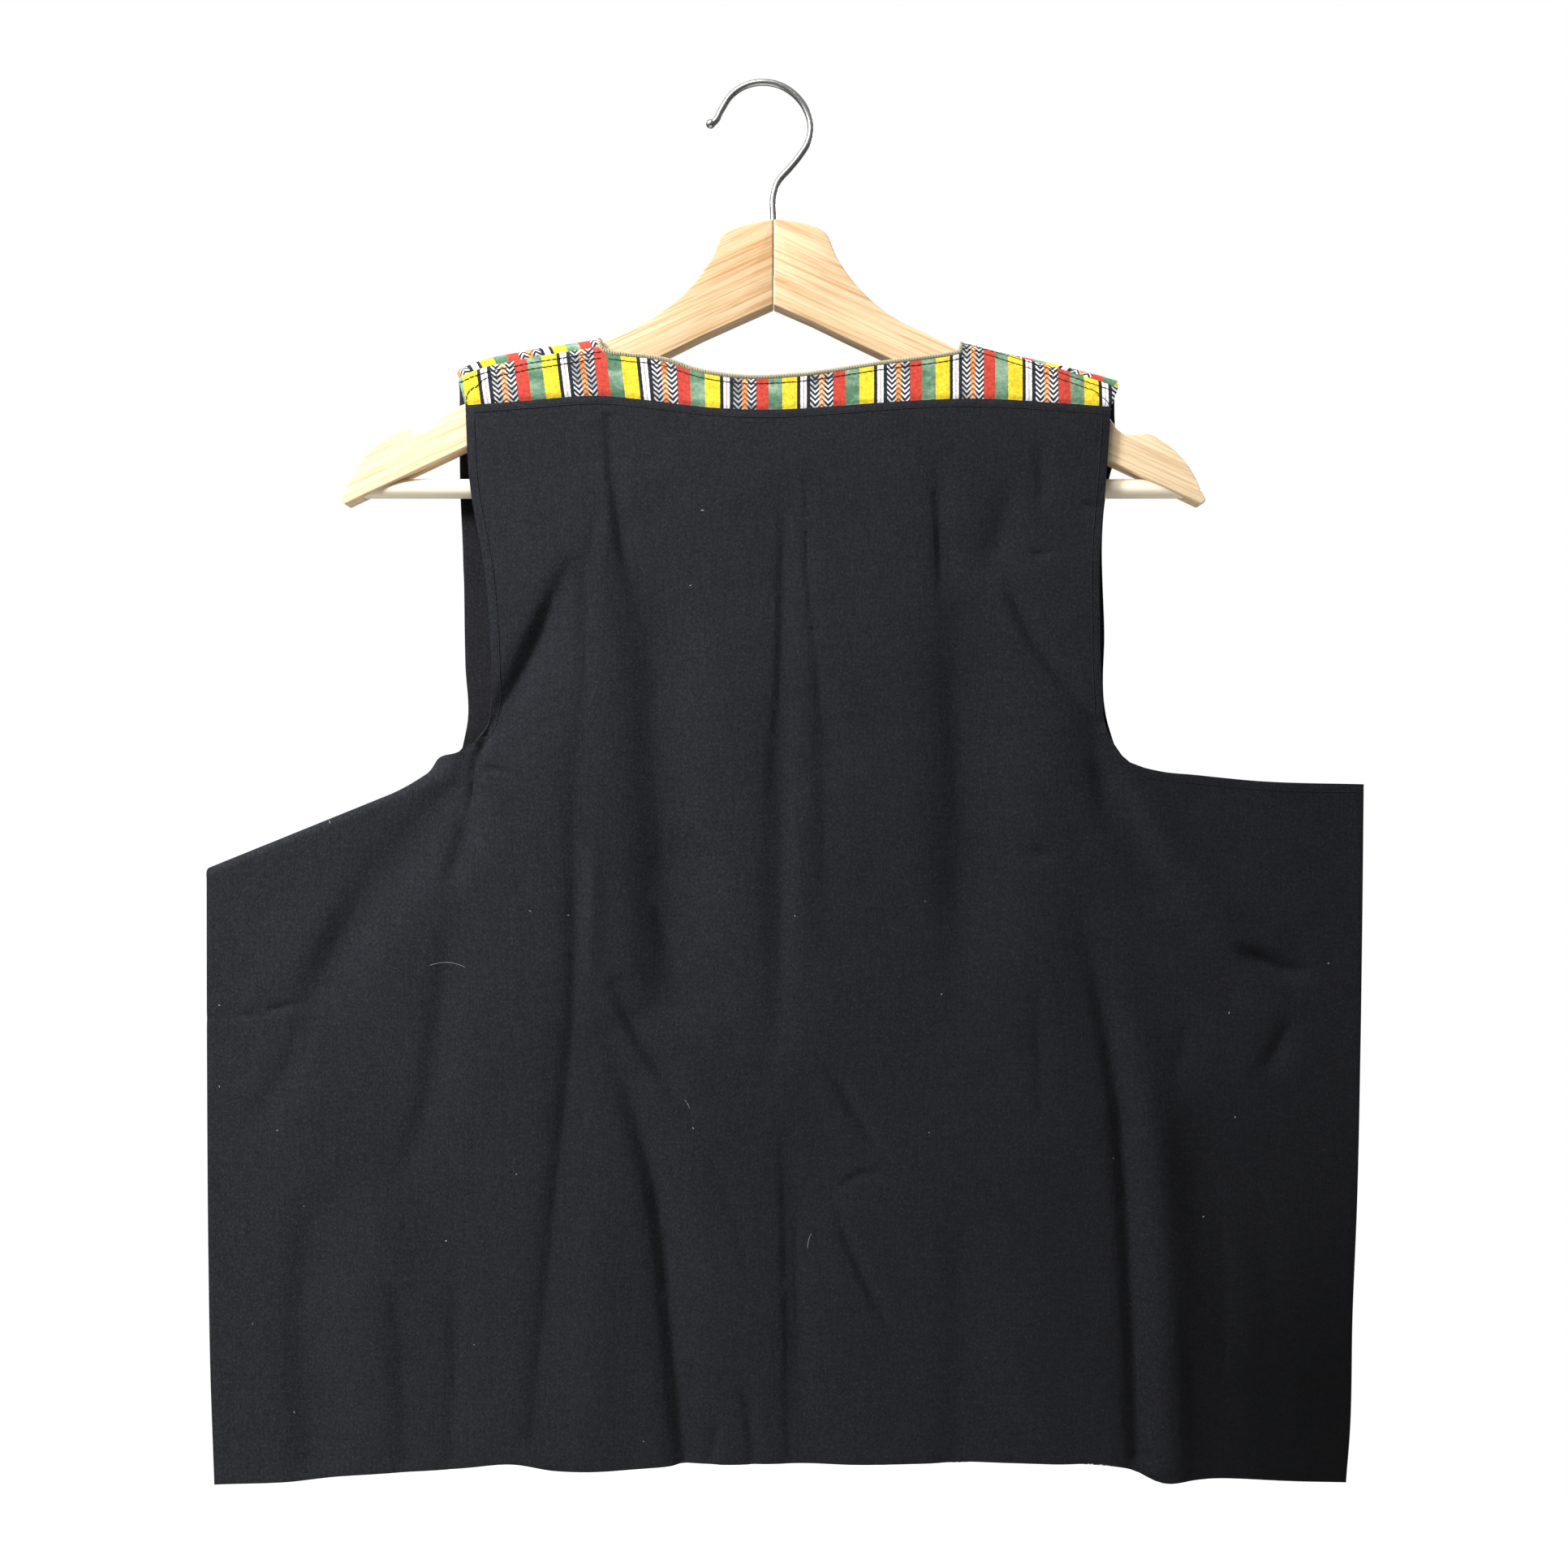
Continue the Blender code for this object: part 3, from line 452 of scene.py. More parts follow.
ARM_LOWER_LEFT = (
    ("x", "z"),
    (-153.3, -188.9),
    (-50.9, -141.3),
    (-31.0, -131.4),
    (-14.0, -123.8),
    (HANGER_X, -115.2),
)
ARM_LOWER_RIGHT = (
    ("x", "z"),
    (177.6, -195.2),
    (63.5, -142.1),
    (45.2, -133.4),
    (25.0, -123.6),
    (HANGER_X, -115.2),
)
BAR_RADIUS = 5.0
BAR_Z = -209.0
BAR_ENDS = (-208.0, 219.0)
HOOK_RADIUS = 1.7
HOOK_POINTS = (
    ("x", "z"),
    (HANGER_X, -98.0),
    (HANGER_X, -69.0),
    (5.6, -57.0),
    (8.0, -49.5),
    (13.4, -43.3),
    (19.3, -36.0),
    (23.5, -29.0),
    (24.8, -21.0),
    (22.3, -12.4),
    (17.2, -5.4),
    (9.0, 0.0),
    (0.0, 1.7),
    (-9.0, 0.0),
    (-16.5, -5.0),
    (-21.5, -12.6),
    (-25.0, -18.6),
    (-29.2, -20.8),
)
HOOK_STEPS = 220
HOOK_BORE_TOP = -60.0
BORE_CLEARANCE = 0.3

# Creases of the cloth, finer than its deep folds
CREASES = (
    ("layer", "depth", "width", "right", "start", "end", "path"),
    (BACK, 1.5, 2.6, 2.6, 0.1, 0.3, ((9, -195), (10.5, -231), (10, -267), (9, -310), (6, -346), (3, -374))),
    (BACK, 2.7, 8.0, 0.8, 0.1, 0.3, (
        (13, -300), (11, -345), (9.5, -389), (9, -437), (8.5, -480), (3, -513),
    )),
    (BACK, 0.7, 1.6, 2.0, 0.2, 0.4, ((22.6, -184), (22.6, -252), (26, -285), (29, -321))),
    (BACK, 1.1, 4.0, 2.0, 0.1, 0.2, ((25, -262), (28, -290), (30.5, -321), (32, -374), (31, -450))),
    (BACK, 1.6, 2.4, 2.2, 0.2, 0.6, ((9, -526), (11.4, -580), (12.6, -643), (13.4, -707))),
    (BACK, 1.3, 2.4, 2.2, 0.1, 0.4, ((14, -542), (17.0, -580), (18.2, -643), (19, -690))),
    (BACK, 1.6, 2.6, 2.6, 0.2, 0.0, ((88.5, -192), (90.5, -231), (92, -276))),
    (BACK, 0.5, 3.6, 2.0, 0.2, 0.1, ((91, -262), (95, -303), (99, -360), (99, -400))),
    (BACK, 1.5, 2.6, 2.4, 0.7, 0.2, ((-79.5, -174), (-78, -202), (-74, -230), (-71, -248), (-64, -276))),
    (BACK, 0.8, 3.0, 1.6, 0.4, 0.2, ((-84, -180), (-84, -222), (-91, -250), (-91, -300), (-94, -374))),
    (BACK, -0.8, 5.0, 1.0, 0.4, 0.2, ((-82, -176), (-81, -222), (-80, -262))),
    (BACK, 1.9, 3.6, 2.4, 0.4, 0.5, ((-97, -246), (-106, -262), (-118, -290), (-130, -315), (-142, -335))),
    (BACK, 0.8, 2.6, 2.0, 0.3, 0.5, (
        (-95, -326), (-98, -374), (-97, -437), (-98, -485), (-106, -564), (-119, -697),
    )),
    (BACK, 2.0, 3.2, 1.8, 0.2, 0.8, (
        (-81, -491), (-73, -513), (-66, -536), (-58, -564), (-53, -596), (-47, -659), (-42, -710),
    )),
    (BACK, 4.0, 3.8, 2.2, 0.5, 0.25, ((-76, -465), (-71, -478), (-63, -494), (-50, -513), (-37, -530))),
    (BACK, 0.6, 1.8, 1.6, 0.1, 0.1, ((-38, -529), (-29, -548), (-19, -570), (-7, -611), (4, -643))),
    (BACK, -1.6, 4.0, 1.2, 0.1, 0.1, ((-86, -374), (-88, -437), (-88, -478))),
    (BACK, 1.2, 6.0, 0.5, 0.1, 0.1, ((-66, -404), (-54, -430), (-45, -452), (-46, -470))),
    (BACK, 1.6, 2.4, 1.8, 0.0, 0.6, ((-12, -664), (-7, -686), (-5, -709))),
    (BACK, 1.5, 2.4, 1.8, 0.6, 0.0, ((-26, -709), (-20, -684))),
    (BACK, 2.6, 3.0, 2.0, 0.2, 0.6, ((124, -252), (128, -266), (139, -289), (156, -311.6), (173, -331))),
    (BACK, 0.9, 1.8, 1.4, 0.5, 0.0, ((176, -220), (160, -218))),
    (BACK, 1.1, 1.8, 1.4, 0.2, 0.0, ((150, -243), (136, -244))),
    (BACK, 1.1, 3.0, 1.6, 0.3, 0.1, ((142, -186), (143, -212), (142, -228))),
    (BACK, 1.5, 6.0, 1.4, 0.2, 0.1, ((128, -206), (120, -238), (112, -262))),
    (BACK, 2.2, 2.2, 1.6, 0.6, 0.2, ((-140, -330), (-145, -344), (-148, -352))),
    (BACK, 1.6, 2.2, 1.4, 0.5, 0.0, ((-148, -352), (-149, -362), (-150, -376))),
    (BACK, 1.2, 2.0, 1.4, 0.4, 0.0, ((-128, -357), (-146, -352))),
    (0, 2.6, 5.0, 1.8, 0.3, 0.0, ((-149, -370), (-155, -390), (-163, -421))),
    (0, 2.2, 6.0, 2.0, 0.1, 0.0, (
        (-157, -404), (-163, -453), (-168, -491), (-173, -529), (-186, -567), (-200, -589),
    )),
    (0, 1.8, 5.0, 1.8, 0.2, 0.0, ((-232, -470), (-244, -504), (-260, -532), (-272, -558))),
    (0, 1.5, 5.0, 1.6, 0.1, 0.8, ((-190, -600), (-186, -660), (-184, -709))),
    (0, 1.3, 4.0, 1.6, 0.0, 0.8, ((-160, -590), (-158, -660), (-160, -709))),
    (0, 1.6, 1.8, 1.4, 0.1, 0.8, ((-233, -473), (-260, -480), (-287, -483))),
    (BACK, 0.30, 1.6, 1.2, 0.3, 0.3, ((-108, -499), (-168, -499))),
    (BACK, 0.30, 1.6, 1.2, 0.3, 0.3, ((106, -493), (40, -496), (-36, -494))),
    (BACK, 2.3, 2.8, 1.6, 0.2, 0.1, ((29, -502), (41, -520), (52, -538), (64, -555))),
    (BACK, 1.3, 2.4, 1.4, 0.1, 0.0, ((66, -560), (50, -562), (34, -572))),
    (BACK, 2.0, 2.2, 1.8, 0.2, 0.1, ((34, -571), (44, -599), (57, -627), (70, -650))),
    (BACK, 0.9, 3.0, 1.6, 0.1, 0.1, ((140, -449), (142, -500), (143, -548))),
    (0, 1.9, 4.0, 1.8, 0.3, 1.0, (
        (162, -430), (171, -458), (177, -491), (183, -530), (187, -586), (190, -640), (192, -709),
    )),
    (0, 1.2, 3.0, 2.0, 0.0, 1.0, ((215, -620), (219, -659), (220, -716))),
    (0, 1.2, 5.0, 1.0, 0.0, 0.6, ((236, -560), (240, -620), (241, -690))),
    (0, 1.7, 4.5, 1.8, 0.5, 0.2, ((171, -344), (175, -366), (178, -384))),
    (0, 5.6, 4.0, 1.6, 0.0, 0.1, ((290, -462), (270, -457), (252, -449), (240, -444))),
    (0, 1.0, 3.0, 1.4, 0.3, 0.1, ((298, -462), (292, -449))),
    (0, 2.8, 5.0, 1.2, 0.0, 0.1, ((277, -477), (266, -499), (254, -516))),
    (0, 1.0, 5.0, 1.6, 0.2, 0.1, ((214, -440), (240, -466), (250, -488))),
    (0, 1.2, 5.0, 1.2, 0.1, 0.1, ((222, -476), (216, -500), (210, -520))),
    (0, 0.8, 6.0, 1.4, 0.0, 0.4, ((258, -560), (262, -640), (258, -709))),
    (BACK, 1.4, 2.4, 1.4, 0.1, 0.1, ((152, -400), (134, -394))),
    (FRONT, 1.4, 8.0, 1.0, 0.1, 0.5, ((-60, -330), (-66, -450), (-70, -600))),
    (FRONT, -1.4, 8.0, 1.0, 0.1, 0.5, ((74, -300), (80, -430), (76, -560))),
    (FRONT, 1.2, 6.0, 1.0, 0.3, 0.0, ((-150, -360), (-120, -410), (-96, -480))),
    (FRONT, 1.2, 6.0, 1.0, 0.3, 0.0, ((170, -352), (140, -404), (118, -470))),
    (FRONT, 0.7, 2.4, 1.0, 0.2, 0.2, ((-230, -505), (-120, -500))),
    (FRONT, 0.7, 2.4, 1.0, 0.2, 0.2, ((60, -503), (180, -500))),
    (FRONT, 1.2, 7.0, 1.0, 0.0, 0.6, ((-180, -560), (-172, -640), (-176, -709))),
    (FRONT, 1.2, 7.0, 1.0, 0.0, 0.6, ((150, -540), (156, -630), (150, -709))),
    (FRONT, 1.5, 3.5, 1.6, 0.1, 0.2, ((-40, -560), (-36, -620), (-40, -700))),
    (FRONT, 1.5, 3.5, 1.6, 0.1, 0.2, ((46, -500), (40, -590), (44, -700))),
)

# Slow unevenness of hung cloth: how far it wanders and how long its waves are
UNEVEN = (
    ("depth", "wave"),
    (0.9, 95.0),
    (0.20, 31.0),
    (0.05, 9.0),
)
SIDES_FOLD = 0.3
SEAM_DIP = 0.75
SEAM_DIP_WIDTH = 1.5
STITCH_DIP = 0.08
STITCH_DIP_WIDTH = 1.1
UNEVEN_TURNS = (0.35, 1.15, 2.05)

# Where yellow stripes meet the yoke seam, and how far their tops lean to -X
YOKE_YELLOWS = (
    ("x", "lean"),
    (-148.8, 0.13),
    (-107.0, 0.125),
    (-66.5, 0.115),
    (-25.6, 0.01),
    (13.8, 0.0),
    (53.3, 0.0),
    (92.3, 0.0),
    (129.4, 0.0),
    (168.6, 0.03),
)
YOKE_LEAN_HEIGHT = -164.0
FRONT_STRIPES = (
    ("side", "a yellow's x down the front", "way", "lean"),
    (-1, -117.6, -1, 0.45),
    (1, 164.0, 1, -0.55),
)
FRONT_STRIPES_CLOSER = 1.06
FRONT_LEAN_BELOW_CREST = 14.0

# One repeat of the woven stripes, from -X to +X
REPEAT = (
    ("yarn", "width"),
    ("black", 1.66),
    ("white", 1.40),
    ("brown", 0.40),
    ("white", 1.40),
    ("black", 1.84),
    ("black", 11.66),
    ("red", 6.20),
    ("green", 7.06),
    ("yellow", 7.50),
)
REPEAT_LENGTH = sum(row[1] for row in REPEAT[1:])
YELLOW_MIDDLE = REPEAT_LENGTH - REPEAT[-1][1] / 2
HERRINGBONE_START = sum(row[1] for row in REPEAT[1:6])
HERRINGBONE_HALF = REPEAT[6][1] / 2
HERRINGBONE_TURN = 3.3
HERRINGBONE_PITCH = 2.66
HERRINGBONE_LINE = 0.46
ORANGE_HALF = 1.4
GREEN_FROM = sum(row[1] for row in REPEAT[1:8])
YELLOW_FROM = sum(row[1] for row in REPEAT[1:9])
YOKE_UV_SHIFT = 20 * REPEAT_LENGTH
BROWN_LINE = (0.42, 0.13, 0.09)
RUST_LINE = (0.26, 0.06, 0.03)
WEAVE_PITCH = 0.0009
RIB_PITCH = 0.00045

# Sewing
SHOULDER_STITCHES = (3.0, 6.2)
SHOULDER_CORNER = 7.0
NECK_STITCH = 2.3
SEAM_STITCH = 4.0
ARMHOLE_STITCH = 4.2
FRONT_EDGE_STITCH = 4.0
STITCH_SHARE = 0.9
STITCH_RISE = 0.16
STITCH_SINK = 0.06
THREAD_RADIUS = 0.2
SWAY = 0.12
SEED = 7
WRAP_SLANT = 0.35
BRAID_HALF_WIDTH = 1.25
BRAID_HALF_DEPTH = 1.0
OVERCAST_RADIUS = 0.14
OVERCAST_COLOUR = (0.075, 0.062, 0.042)
BRAID_SIDES = 12
OVERCAST_LIFT = 0.06
SEAM_POINTS = 60
EDGE_POINTS = 40
CORNER_POINTS = 7
FOOT_POINTS = 8
STITCH_POINTS = 5
STITCH_SIDES = 5
WRAP_POINTS = 9
WRAP_SIDES = 4
STITCH_PATH_STEP = 2.0
FRONT_STITCH_STARTS = 14.0
NORMAL_STEP = 0.25
RIM_ROUND = 0.42
RIM_ANGLE = math.radians(60)

# Lint that shows on the back
LINT = (
    ("x", "z", "length", "way"),
    (-30.0, -221.8, 1.6, 2.8),
    (-37.5, -260.2, 1.0, 0.4),
    (-280.8, -518.8, 1.1, 1.2),
    (-224.0, -381.9, 1.3, 5.1),
    (-35.4, -538.8, 1.0, 2.0),
    (-37.5, -528.4, 5.0, 1.9),
    (25.1, -593.0, 8.0, 4.2),
    (-163.5, -597.2, 1.1, 0.3),
    (-242.0, -687.0, 1.0, 2.2),
    (-171.5, -455.3, 19.0, 0.35),
    (240.0, -480.4, 1.2, 1.4),
    (228.7, -586.0, 1.0, 4.0),
    (244.1, -534.6, 1.0, 0.9),
    (-280.4, -476.2, 1.0, 3.3),
)
LINT_EXTRA = 14
LINT_COLOUR = (0.42, 0.42, 0.42)

# Hanger finish and stage
ARM_END_STEPS = 90
ARM_SLOPE = math.radians(24.5)
HOOK_TIP_SIZES = (1.1, 1.3, 1.38, 1.28, 1.0, 0.45)
FLOOR_Z = -0.95
FLOOR_REACH = 1.2
FLOOR_SIDES = 96
ROD_SIDES = 48
ROD_STEPS = 12
BAR_CHAMFER = 0.6
WIRE_SHARP = math.radians(50)
SENSOR = 36.0
CAMERA_X = 0.0109
CAMERA_Z = -0.3619
FLOOR_FADE = (0.35, 0.85)
SKY_HEIGHTS = (-0.3, 0.7)
SKY_SHARES = (0.5, 1.6)
LIGHTS = (
    ("name", "size", "share", "colour", "place", "target"),
    ("key light", 0.5, 1.0, (0.97, 0.985, 1.0), (-1.45, -0.92, 0.70), (0.0, 0.0, -0.40)),
    ("top light", 0.8, 0.30, (1.0, 0.99, 0.97), (-0.45, -0.75, 1.0), (0.0, 0.0, -0.3)),
    ("back light", 1.2, 0.7, (1.0, 1.0, 1.0), (1.5, 1.5, 0.7), (0.0, 0.0, -0.36)),
)


def columns(table):
    """The rows of a table under its heading, as numbers."""
    return np.array(table[1:], float)


def soft_step(value, low, high):
    t = np.clip((value - low) / (high - low), 0.0, 1.0)
    return t * t * (3.0 - 2.0 * t)


def smooth_between(knots, points, at):
    """A smooth curve through points that are given at rising knots."""
    spans = np.diff(knots)
    slopes = np.gradient(points, knots, axis=0)
    i = np.clip(np.searchsorted(knots, at, side="right") - 1, 0, len(spans) - 1)
    span = spans[i][:, None]
    t = ((at - knots[i]) / spans[i])[:, None]
    start = points[i] * (1 + 2 * t) * (1 - t) ** 2 + slopes[i] * span * t * (1 - t) ** 2
    end = points[i + 1] * t * t * (3 - 2 * t) - slopes[i + 1] * span * t * t * (1 - t)
    return start + end


def follow(points, fractions):
    """Points at these fractions of the length of a smooth curve through the given points."""
    points = np.asarray(points, float)
    steps = np.linalg.norm(np.diff(points, axis=0), axis=1)
    knots = np.concatenate([[0.0], np.cumsum(steps)])
    return smooth_between(knots, points, np.asarray(fractions, float) * knots[-1])


def at_x(table, x):
    """Points of an outline that runs across, at each x."""
    rows = columns(table)
    rows = rows[np.argsort(rows[:, 0])]
    return smooth_between(rows[:, 0], rows, np.asarray(x, float))


def even(count):
    return np.linspace(0.0, 1.0, count + 1)


def crest_shape():
    """Length along the cloth from the crest, with how far it falls and how far out it goes."""
    angle = np.linspace(0.0, math.pi / 2, 200)
    out = CREST_HALF * np.sin(angle) ** (2 / CREST_POWER)
    fall = CREST_HALF * (1 - np.cos(angle) ** (2 / CREST_POWER))
    length = np.concatenate([[0.0], np.cumsum(np.hypot(np.diff(out), np.diff(fall)))])
    return length, fall, out / CREST_HALF


CREST_LENGTH, CREST_FALL, CREST_OUT = crest_shape()
CREST_EXTRA = CREST_LENGTH[-1] - CREST_HALF


def crest_z(x):
    rows = columns(CREST)
    return np.interp(x, rows[:, 0], rows[:, 1])


def fall_of(length):
    past = np.maximum(length - CREST_LENGTH[-1], 0.0)
    return np.interp(length, CREST_LENGTH, CREST_FALL) + past


def length_of(fall):
    past = np.maximum(fall - CREST_HALF, 0.0)
    return np.interp(fall, CREST_FALL, CREST_LENGTH) + past


def seam_length(x):
    rows = columns(SHOULDER_SEAM)
    return np.interp(x, rows[:, 0], rows[:, 1])


def plan_height(x, z):
    """Plan height of a place on the cloth's own side of the crest."""
    return crest_z(x) + CREST_EXTRA - length_of(crest_z(x) - z)


def on_plan(points):
    """(x, z) points of an outline as (x, h) points of the plan."""
    points = np.asarray(points, float)
    return np.column_stack([points[:, 0], plan_height(points[:, 0], points[:, 1])])


def turn_frame():
    start = np.array(TURN_FROM)
    along = np.array(TURN_TO) - start
    along /= np.linalg.norm(along)
    return start, np.array([along[1], -along[0]])


def past_turn(x, z):
    """How far a place lies past the line that the corner is turned down along."""
    start, across = turn_frame()
    return (x - start[0]) * across[0] + (z - start[1]) * across[1]


def turned_share(x):
    return soft_step(-x, -TURN_STARTS_X, -TURN_WHOLE_X)


def looseness(x, z):
    """0 where back and front lie together, at the side seams and the turned corner, else up to 1."""
    left = soft_step(x, SIDE_LEFT_X, SIDE_LEFT_X + SEAM_SOFT)
    right = soft_step(-x, -SIDE_RIGHT_X, SEAM_SOFT - SIDE_RIGHT_X)
    corner = soft_step(-past_turn(x, z), LYING_REACH, LYING_REACH + LYING_EASE)
    share = turned_share(x)
    return left * right * (1.0 - share + share * corner)


def body_share(x, z):
    """1 over the hanger, falling to 0 in the wings, and a little less at the hem."""
    body = 1.0 - soft_step(np.abs(x - CENTRE_X), BODY_HALF, WING_STARTS)
    chest = soft_step(z, *CHEST_HEIGHT)
    closing = 1.0 - HEM_CLOSES * soft_step(-z, *HEM_CLOSING_DEPTH)
    return (body + (1.0 - body) * chest) * closing


def spread(layer, x, z):
    for side, seam, wing, body in SPREAD[1:]:
        if side == layer:
            return seam + looseness(x, z) * (wing + body * body_share(x, z))
    raise ValueError(layer)


def one_fold(x, z, width, right, start, end, path):
    """1 along a fold's path, fading beside it and towards the ends that are given as 0.

    The flank at +X, for a path that runs down, is right times as wide as the other.
    """
    path = np.asarray(path, float)
    steps = np.linalg.norm(np.diff(path, axis=0), axis=1)
    knots = np.concatenate([[0.0], np.cumsum(steps)]) / steps.sum()
    nearest = np.full(np.shape(x), np.inf)
    along = np.zeros(np.shape(x))
    side = np.zeros(np.shape(x))
    beyond = np.zeros(np.shape(x))
    for i, step in enumerate(steps):
        ahead = (path[i + 1] - path[i]) / step
        run = (x - path[i, 0]) * ahead[0] + (z - path[i, 1]) * ahead[1]
        t = np.clip(run / step, 0.0, 1.0)
        foot_x = path[i, 0] + t * step * ahead[0]
        foot_z = path[i, 1] + t * step * ahead[1]
        distance = np.hypot(x - foot_x, z - foot_z)
        closer = distance < nearest
        along = np.where(closer, knots[i] + t * (knots[i + 1] - knots[i]), along)
        beside_path = ahead[0] * (z - path[i, 1]) - ahead[1] * (x - path[i, 0])
        side = np.where(closer, beside_path, side)
        at_an_end = (run < 0.0) & (i == 0) | (run > step) & (i == len(steps) - 1)
        beyond = np.where(closer, np.where(at_an_end, np.abs(run - t * step), 0.0), beyond)
        nearest = np.where(closer, distance, nearest)
    first = start + (1 - start) * soft_step(along, 0.0, FOLD_FADE)
    last = end + (1 - end) * soft_step(-along, -1.0, FOLD_FADE - 1.0)
    wide = np.where(side > 0, width * right, width)
    across = (nearest**2 - beyond**2) / wide**2
    return np.exp(-across - (beyond / width) ** 2) * first * last


def unevenness(layer, x, z):
    """Slow wandering of hung cloth, the same for the same place each time."""
    total = np.zeros(np.shape(x))
    for depth, wave in UNEVEN[1:]:
        for turn in UNEVEN_TURNS:
            angle = turn * (2.0 + layer * 0.3)
            across = x * math.cos(angle) + z * math.sin(angle)
            along = z * math.cos(angle) - x * math.sin(angle)
            bend = np.sin(along * (1.1 / wave) + turn * 3.0) * 1.4
            total += depth / len(UNEVEN_TURNS) * np.sin(across * (2 * math.pi / wave) + bend + turn * 5.0)
    return total


def folds(layer, x, z):
    loose = looseness(x, z)
    own = body_share(x, z)
    together = SIDES_FOLD + (1.0 - SIDES_FOLD) * loose
    total = unevenness(layer, x, z) * loose
    for side, depth, *shape in CREASES[1:]:
        if side in (0, layer):
            total += depth * (loose if side else together) * one_fold(x, z, *shape)
    for side, depth, *shape in FOLDS[1:]:
        if side in (0, layer):
            total += depth * (loose * own if side else together) * one_fold(x, z, *shape)
    return total


def place(layer, plan):
    """Hangs plan points (x, h) of the back or the front, and returns (x, y, z) points."""
    x = plan[..., 0]
    crest = crest_z(x)
    past_crest = crest + CREST_EXTRA - plan[..., 1]
    length = np.abs(past_crest)
    z = crest - fall_of(length)
    out = np.interp(length, CREST_LENGTH, CREST_OUT) * np.where(past_crest < 0, -1.0, 1.0)
    y = layer * spread(layer, x, z) * out + folds(layer, x, z) * soft_step(past_crest, *FOLDS_BEGIN)

    start, across = turn_frame()
    past = past_turn(x, z)
    angle_limit = math.pi * turned_share(x)
    angle = np.clip(past / TURN_ARC, 0.0, angle_limit)
    straight = np.maximum(past, 0.0) - angle * TURN_ARC
    pivot = spread(FRONT, x, z) + TURN_INNER_RADIUS
    radius = pivot - y
    rolled = past > 0
    out_of_line = radius * np.sin(angle) + straight * np.cos(angle)
    behind = pivot - radius * np.cos(angle) + straight * np.sin(angle)
    shift = np.where(rolled, out_of_line - past, 0.0)
    return np.stack(
        [x + shift * across[0], np.where(rolled, behind, y), z + shift * across[1]],
        axis=-1,
    )


def patch(top, bottom, left, right, across):
    """Plan points between four edges that share their corners; rows run from top to bottom."""
    across = across[None]
    down = np.linspace(0.0, 1.0, len(left))[:, None, None]
    ruled = (1 - down) * top[None] + down * bottom[None]
    sides = (1 - across) * left[:, None] + across * right[:, None]
    corners = (1 - down) * ((1 - across) * top[0] + across * top[-1]) + down * (
        (1 - across) * bottom[0] + across * bottom[-1]
    )
    return ruled + sides - corners


def turned_corner(turn, edge):
    """Plan points of the turned down corner, from the turn line to the wing's top edge."""
    first = past_turn(turn[:, 0], turn[:, 1])
    last = past_turn(edge[:, 0], edge[:, 1])
    reach = np.maximum(last - first, JOIN)
    roll = math.pi * turned_share(turn[:, 0]) * TURN_ARC - first
    roll = np.clip(roll / reach, *ROLL_SHARE)
    shares = [roll * step / TURN_STEPS for step in range(TURN_STEPS)]
    shares += [roll + (1 - roll) * step / TURN_LYING_STEPS for step in range(TURN_LYING_STEPS + 1)]
    return np.array([(1 - share[:, None]) * turn + share[:, None] * edge for share in shares])


def back_plans():
    left = on_plan(follow(columns(BACK_ARMHOLE_LEFT), CHEST_ROWS))
    right = on_plan(follow(columns(BACK_ARMHOLE_RIGHT), CHEST_ROWS))
    chest_x = np.array(CHEST_X, float)
    share = ((chest_x - chest_x[0]) / (chest_x[-1] - chest_x[0]))[:, None]
    seam_x = left[0, 0] + (right[0, 0] - left[0, 0]) * share[:, 0]
    chest_top = on_plan(at_x(YOKE_SEAM, seam_x))
    chest_top[:, 1] += SEAM_LAP / 2
    left[0], right[0] = chest_top[0], chest_top[-1]
    join = (1 - share) * left[-1] + share * right[-1]
    chest = patch(chest_top, join, left, right, share)

    turn = at_x(TURN, WING_LEFT_X)[::-1]
    wing_left = at_x(WING_TOP_LEFT, WING_LEFT_X)[::-1]
    wing_right = at_x(WING_TOP_RIGHT, WING_RIGHT_X)
    turn[-1] = wing_left[-1] = join[0]
    wing_right[0] = join[-1]
    top = np.concatenate([turn, join[1:-1], wing_right])
    body = below(top, BACK_HEM, SIDE_LEFT, SIDE_RIGHT, ROWS_BODY)
    return [chest, body, turned_corner(turn, wing_left)]


def below(top, hem, side_left, side_right, rows):
    """The plan of a panel's body, from its top row down to the hem."""
    share = ((top[:, 0] - top[0, 0]) / (top[-1, 0] - top[0, 0]))[:, None]
    left = follow(columns(side_left), even(rows))
    right = follow(columns(side_right), even(rows))
    hem = at_x(hem, left[-1, 0] + (right[-1, 0] - left[-1, 0]) * share[:, 0])
    left[0], right[0] = top[0], top[-1]
    hem[0], hem[-1] = left[-1], right[-1]
    return patch(top, hem, left, right, share)


def neck_point(side):
    for row in NECK_POINTS[1:]:
        if row[0] == side:
            return row[1:]
    raise ValueError(side)


def over_crest(side, outer_x, inner_x):
    """Plan rows of a front from its shoulder seam, over the crest, to where its armhole starts."""
    tip = SHOULDER_TIP_LEFT_X if side < 0 else SHOULDER_TIP_RIGHT_X
    crest_neck, seam_neck = neck_point(side)
    across = even(FRONT_COLUMNS)
    strip = []
    for down in CREST_ROWS:
        outer = tip + (outer_x - tip) * down / CREST_ROWS[-1]
        inner = np.interp(down, CREST_KNOTS, (seam_neck, crest_neck, crest_neck, inner_x))
        x = outer + (inner - outer) * across
        start = seam_length(x) + SEAM_LAP / 2
        strip.append(np.column_stack([x, crest_z(x) + CREST_EXTRA + start - down]))
    return np.array(strip)


